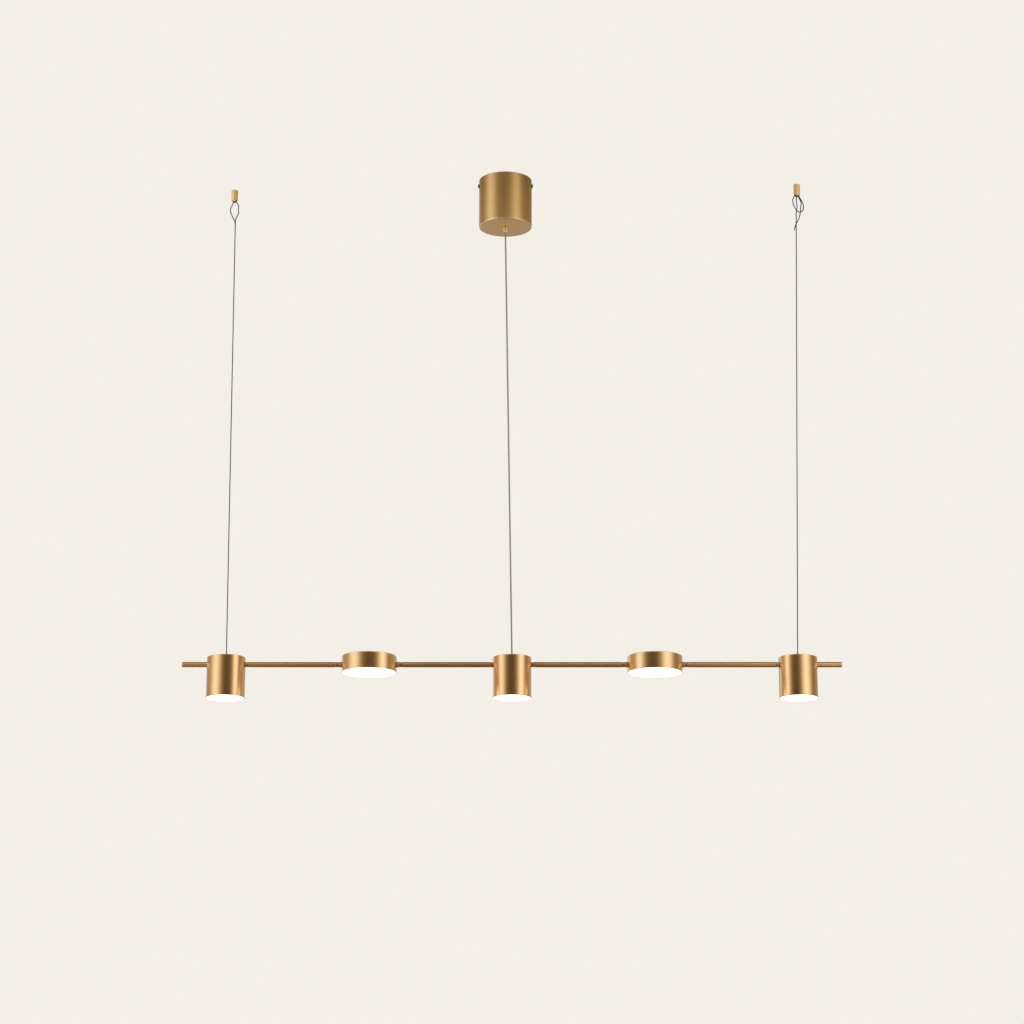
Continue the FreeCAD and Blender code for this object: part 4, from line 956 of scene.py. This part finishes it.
def makeEndPlugs():
    low, high = nodeBox("bar_end_plugs")
    half = barShape["plugHeight"] / 2
    for name, middle in (("endPlugLeft", low.x + half * mm), ("endPlugRight", high.x - half * mm)):
        addRod(name, "bar_end_plugs", middle, half, 0, barShape["plugEdge"], fittingMetal)


def makeFitting(node, shape):
    places = [(head.x + side * shape["away"] * mm, 0, barMiddle.z) for head, side in shape["sides"]]
    mesh = runTree(holderOf(pointsMesh(places)), ringTree, {
        "Outer": shape["outer"] * mm, "Bore": barShape["tubeBore"] * mm, "Length": shape["length"] * mm,
        "Rounding": shape["rounding"] * mm, "Material": fittingMetal}, pieceName(node))
    mesh.set_sharp_from_angle(angle=sharpAngle)
    addPiece(pieceName(node), mesh, fittingMetal, "light_bar", node)


for place in ("tube_outer_left", "tube_inner_left", "tube_inner_right", "tube_outer_right",
              "stub_left", "stub_right"):
    makeBarTube("bar_" + place)
for node, shape in fittings.items():
    makeFitting(node, shape)
makeEndPlugs()
print("bar made")


# light heads

spotShape = {"wall": 1.2, "top": 1.5, "edge": 1.0, "rim": 0.35, "inside": 0.5, "steps": 160}
drumShape = {**spotShape, "edge": 1.4}
lensShape = {"thickness": 2.2, "crown": 0.12, "edge": 0.25, "gap": 0.25, "rings": 8, "steps": 128}
studHole = 2.55
bushHole = 3.55
heads = (
    ("spot", "left", spotShape, studHole, "light_bar"),
    ("spot", "middle", spotShape, bushHole, "light_bar"),
    ("spot", "right", spotShape, studHole, "light_bar"),
    ("drum", "left", drumShape, 0.0, "drum_left"),
    ("drum", "right", drumShape, 0.0, "drum_right"))


def makeShell(name, node, shape, hole, body):
    outer, height, foot = roundSize(node)
    inner, ceiling, rim = outer - shape["wall"], height - shape["top"], shape["rim"]
    section = [(hole, height, 0), (outer, height, shape["edge"]), (outer, 0, rim), (inner, 0, rim),
               (inner, ceiling, shape["inside"]), (hole, ceiling, 0)]
    finish = metalFinish(name + "Metal", headBrass, foot)
    addTurned(name, section, foot, finish, body, node, steps=shape["steps"])


def makeLens(name, node, body):
    # a shallow crown makes the opal disc catch the light at its edge
    shape = lensShape
    width, _, foot = roundSize(node)
    outer, thick, rings = width - shape["gap"], shape["thickness"], shape["rings"]
    section = [(0, thick, 0), (outer, thick, 0), (outer, shape["crown"], shape["edge"])]
    for step in range(rings - 1, 0, -1):
        share = step / rings
        section.append((outer * share, shape["crown"] * share * share, 0))
    section.append((0, 0, 0))
    finish = opalFinish(name + "Opal", foot, outer * mm)
    addTurned(name, section, foot, finish, body, node, steps=shape["steps"])


for kind, side, shape, hole, body in heads:
    makeShell(f"{kind}Shell{side.capitalize()}", f"{kind}_{side}_shell", shape, hole, body)
    makeLens(f"{kind}Lens{side.capitalize()}", f"{kind}_{side}_diffuser", body)

studShape = {
    "head": 4.0, "headHeight": 5.0, "edge": 1.2, "seatEdge": 0.2, "thread": 2.5, "threadEdge": 0.3,
    "bore": 1.35, "boreDepth": 4.0, "boreEdge": 0.25, "steps": 64}
bushShape = {
    **studShape, "head": 6.0, "headHeight": 4.0, "edge": 1.4, "thread": 3.5, "bore": 1.7,
    "boreDepth": 0.0, "boreEdge": 0.3, "steps": 72}


def makeTopFitting(name, node, x, shape):
    # a threaded fitting in a spot's top, bored from above: to a depth, or right through
    low, high = nodeBox(node)
    height = (high.z - low.z) / mm
    seat = height - shape["headHeight"]
    section = [(shape["thread"], 0, shape["threadEdge"]), (shape["thread"], seat, 0),
               (shape["head"], seat, shape["seatEdge"]), (shape["head"], height, shape["edge"]),
               (shape["bore"], height, shape["boreEdge"])]
    if shape["boreDepth"]:
        floor = height - shape["boreDepth"]
        section += [(shape["bore"], floor, 0), (0, floor, 0), (0, 0, 0)]
    else:
        section.append((shape["bore"], 0, 0))
    centre = Vector((x, 0, low.z))
    finish = metalFinish(name + "Metal", goldBrass, centre)
    addTurned(name, section, centre, finish, "light_bar", node, steps=shape["steps"])


makeTopFitting("wireStudLeft", "wire_studs", leftSpot.x, studShape)
makeTopFitting("wireStudRight", "wire_studs", rightSpot.x, studShape)
makeTopFitting("cordBush", "cord_bush", middleSpot.x, bushShape)
print("heads made")


# what stays as the CAD made it gets its finish

boardBottom = {
    "spot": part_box("spot_heat_sinks")[0][2] - boardLook["thickness"] * mm,
    "drum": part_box("drum_left_plate")[0][2] - boardLook["thickness"] * mm}
nodeFinishes = {
    plainZinc: ["bracket_screws", "anchor_set_screws", "hollow_nipples", "lock_nuts", "swivel_washers",
                "spot_board_screws", "wire_stud_nuts", "drum_left_screws", "drum_right_screws"],
    metalFinish("glandNutMetal", goldBrass): ["gland_nut"],
    plainAluminium: ["spot_heat_sinks", "drum_left_plate", "drum_right_plate"],
    cableSheath: ["bar_wiring", "drum_left_lead", "drum_right_lead"],
    terminalShell: ["splice_block"],
    reflectorPlastic: ["spot_reflectors"],
    boardFinish("spotBoards", boardBottom["spot"]): ["spot_led_boards"],
    boardFinish("drumBoards", boardBottom["drum"]): ["drum_left_led_board", "drum_right_led_board"]}
for material, nodes in nodeFinishes.items():
    for node in nodes:
        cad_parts[node].data.materials.clear()
        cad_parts[node].data.materials.append(material)
print("CAD nodes finished")


# studio: pale floor and background, soft lamps, and a tent that only metal reflects

studio = {
    "pale": (0.896, 0.864, 0.799, 1), "worldLight": (0.58, 0.575, 0.56, 1),
    "middle": (0.0125, 0.0, -0.95), "tentRadius": 1.6, "tentTop": 2.6, "tentFoot": -2.2, "tentSides": 64}
floorLook = {
    "level": -3.4, "half": 30.0, "deep": (0.86, 0.83, 0.775, 1), "light": (0.90, 0.87, 0.81, 1),
    "patchSize": 0.6, "patchContrast": 0.15, "rough": 0.9, "gloss": 0.1, "glow": (1.0, 0.965, 0.915, 1),
    "nearGlow": 0.17, "farGlow": 0.378, "glowReach": 7.0}


def seenDirectly(tree):
    # 1 for what the camera sees, by itself, mirrored or through glass
    path = put(tree, "ShaderNodeLightPath")
    direct = calc("MAXIMUM", path["Is Camera Ray"], path["Is Glossy Ray"])
    return calc("MAXIMUM", direct, path["Is Transmission Ray"])


def makeWorld():
    world = bpy.data.worlds.new("studioWorld")
    world.use_nodes = True
    tree = world.node_tree
    tree.nodes.clear()
    colour = mixColour(seenDirectly(tree), studio["worldLight"], studio["pale"])
    background = joined("ShaderNodeBackground", {"Color": colour, "Strength": 1.0})
    joined("ShaderNodeOutputWorld", {"Surface": background[0]})
    bpy.context.scene.world = world


def makeFloor():
    half, level = floorLook["half"], floorLook["level"]
    mesh = bpy.data.meshes.new("studioFloor")
    corners = [(-half, -half), (half, -half), (half, half), (-half, half)]
    mesh.from_pydata([(x, y, level) for x, y in corners], [], [(0, 1, 2, 3)])
    material, tree, shader, place = startMaterial("paleFloor", (0, 0, level))
    # the lamps reach only the floor below them, so it is raised to the background's colour further out
    away = joined("ShaderNodeVectorMath", {0: place}, operation="LENGTH")["Value"]
    reach = calc("DIVIDE", away, floorLook["glowReach"])
    spread = mixValue(reach, floorLook["nearGlow"], floorLook["farGlow"])
    raised = times(seenDirectly(tree), spread)
    patches = patchesOf(place, floorLook)
    setInputs(shader, {
        "Base Color": mixColour(patches, floorLook["deep"], floorLook["light"]),
        "Emission Color": mixColour(raised, (0, 0, 0, 1), floorLook["glow"]),
        "Emission Strength": 1.0, "Roughness": floorLook["rough"],
        "Specular IOR Level": floorLook["gloss"]})
    mesh.materials.append(material)
    floor = holderOf(mesh, "studioFloor")
    floor.visible_glossy = False      # metal sees the tent's dark foot instead


# what the metal reflects: strengths of the tent's parts, and its soft boxes by their bearing; the
# canopy hangs nearer the tent's top and sees each box weaker and turned a little
tentLight = {
    "front": 0.062, "topFront": 0.17, "floorFront": 0.24, "back": 0.43, "topBack": 0.36,
    "floorBack": 0.60, "ceiling": 0.28, "foot": 0.20, "band": 0.85, "bandLevel": 0.96,
    "bandHeight": 0.28, "lift": 1.15, "topShade": 0.30, "asternWhite": 0.66, "whiteAt": (0.08, 1.1),
    "shade": (1.0, 0.75, 0.52, 1), "glow": (0.96, 1.02, 1.28, 1),
    "boxes": ({"at": -67.0, "width": 25.0, "strength": 1.32, "nearTop": 0.64, "turn": -1.0},
              {"at": 57.0, "width": 23.5, "strength": 1.40, "nearTop": 0.46, "turn": -9.0},
              {"at": -148.0, "width": 14.0, "strength": 0.50, "nearTop": 0.4, "turn": 0.0},
              {"at": 150.0, "width": 14.0, "strength": 0.10, "nearTop": 0.4, "turn": 0.0})}
# where one part gives way to the next, in metres above the bar: the heads mirror the tent at 0.3, the
# canopy at 1.5, and the ceiling is above
tentHeights = {
    "high": (0.7, 1.3), "low": (0.1, -0.6), "overhead": (1.75, 2.2), "foot": (-1.9, -0.9),
    "shaded": (1.42, 1.72)}
# and in degrees from straight ahead
tentBearings = {"behind": (80.0, 120.0), "astern": (150.0, 172.0)}


def bell(angle, at, width):
    # 1 at an angle, falling off smoothly on both sides of it
    apart = calc("DIVIDE", calc("SUBTRACT", angle, at), width)
    return calc("EXPONENT", times(apart, apart, -1.0))


def tentMesh():
    bm = bmesh.new()
    top, foot, radius = studio["tentTop"], studio["tentFoot"], studio["tentRadius"]
    bmesh.ops.create_cone(bm, cap_ends=True, segments=studio["tentSides"], radius1=radius,
                          radius2=radius, depth=top - foot)
    middle = Vector(studio["middle"]) + Vector((0, 0, (top + foot) / 2))
    bmesh.ops.translate(bm, vec=middle, verts=bm.verts)
    return smoothMesh(meshFrom(bm, "studioTent"))


def tentCloth():
    look = tentLight
    material, tree, shader, place = startMaterial("tentCloth", studio["middle"])
    tree.nodes.remove(shader)
    parts = partsOf(place)
    height = parts["Z"]
    turn = calc("ARCTAN2", parts["X"], times(parts["Y"], -1.0))
    bearing = times(turn, math.degrees(1))
    aside = calc("ABSOLUTE", bearing)
    high, low, overhead, foot, shaded = (ramp(height, *span) for span in tentHeights.values())
    behind, astern = (ramp(aside, *span) for span in tentBearings.values())
    front = mixValue(high, look["front"], look["topFront"])
    front = mixValue(low, front, look["floorFront"])
    band = bell(height, look["bandLevel"], look["bandHeight"])
    front = calc("MULTIPLY_ADD", band, look["band"], front)
    back = mixValue(low, mixValue(high, look["back"], look["topBack"]), look["floorBack"])
    value = mixValue(behind, front, back)
    value = times(value, mixValue(shaded, look["lift"], look["topShade"]))
    for box in look["boxes"]:
        at = calc("MULTIPLY_ADD", high, box["turn"], box["at"])
        strength = times(mixValue(high, 1.0, box["nearTop"]), box["strength"])
        lobe = times(bell(bearing, at, box["width"]), strength)
        value = calc("ADD", lobe, value)
    value = times(value, mixValue(foot, look["foot"], 1.0))
    value = calc("MULTIPLY_ADD", overhead, calc("SUBTRACT", look["ceiling"], value), value)
    white = calc("MAXIMUM", ramp(value, *look["whiteAt"]), times(astern, look["asternWhite"]))
    colour = mixColour(white, look["shade"], look["glow"])
    glow = joined("ShaderNodeEmission", {"Color": colour, "Strength": value})
    setInputs(tree.nodes["Material Output"], {"Surface": glow[0]})
    material.cycles.emission_sampling = "NONE"
    return material


def makeTent():
    mesh = tentMesh()
    mesh.materials.append(tentCloth())
    tent = holderOf(mesh, "studioTent")
    for ray in ("camera", "diffuse", "transmission", "volume_scatter", "shadow"):
        setattr(tent, "visible_" + ray, False)


lampColour = (1.0, 0.985, 0.96)
lamps = {
    "keyLamp": {"from": (-2.6, -3.0, 0.9), "size": 2.2, "power": 52.0},
    "fillLamp": {"from": (2.8, -2.8, -0.6), "size": 2.4, "power": 34.0},
    "backLamp": {"from": (0.4, 3.2, 0.8), "size": 2.4, "power": 36.0},
    "lowLamp": {"from": (0.0, -1.8, -2.9), "size": 2.0, "power": 14.0}}


def makeLamp(name, lamp):
    light = bpy.data.lights.new(name, "AREA")
    light.shape = "SQUARE"
    light.size = lamp["size"]
    light.energy = lamp["power"]
    light.color = lampColour
    holder = holderOf(light, name)
    holder.location = lamp["from"]
    aim = Vector(studio["middle"]) - Vector(lamp["from"])
    holder.rotation_euler = aim.to_track_quat("-Z", "Y").to_euler()
    holder.visible_camera = False
    holder.visible_glossy = False      # the tent is what metal reflects


cameraPlace = {
    "at": (0.0125, -4.839, -1.950), "pitch": 15.0, "sensor": 36.0, "pixelsToFocus": 2713.0,
    "imageWidth": 1024.0, "farthest": 200.0}


def makeCamera():
    data = bpy.data.cameras.new("photoCamera")
    data.sensor_fit = "HORIZONTAL"
    data.sensor_width = cameraPlace["sensor"]
    data.lens = data.sensor_width * cameraPlace["pixelsToFocus"] / cameraPlace["imageWidth"]
    data.clip_end = cameraPlace["farthest"]
    camera = holderOf(data, "photoCamera")
    camera.location = cameraPlace["at"]
    camera.rotation_euler = (math.radians(90 + cameraPlace["pitch"]), 0, 0)
    bpy.context.scene.camera = camera


makeWorld()
makeFloor()
makeTent()
for name, lamp in lamps.items():
    makeLamp(name, lamp)
makeCamera()
bpy.context.scene.view_settings.view_transform = "Standard"
print("studio made")

bpy.context.view_layer.update()
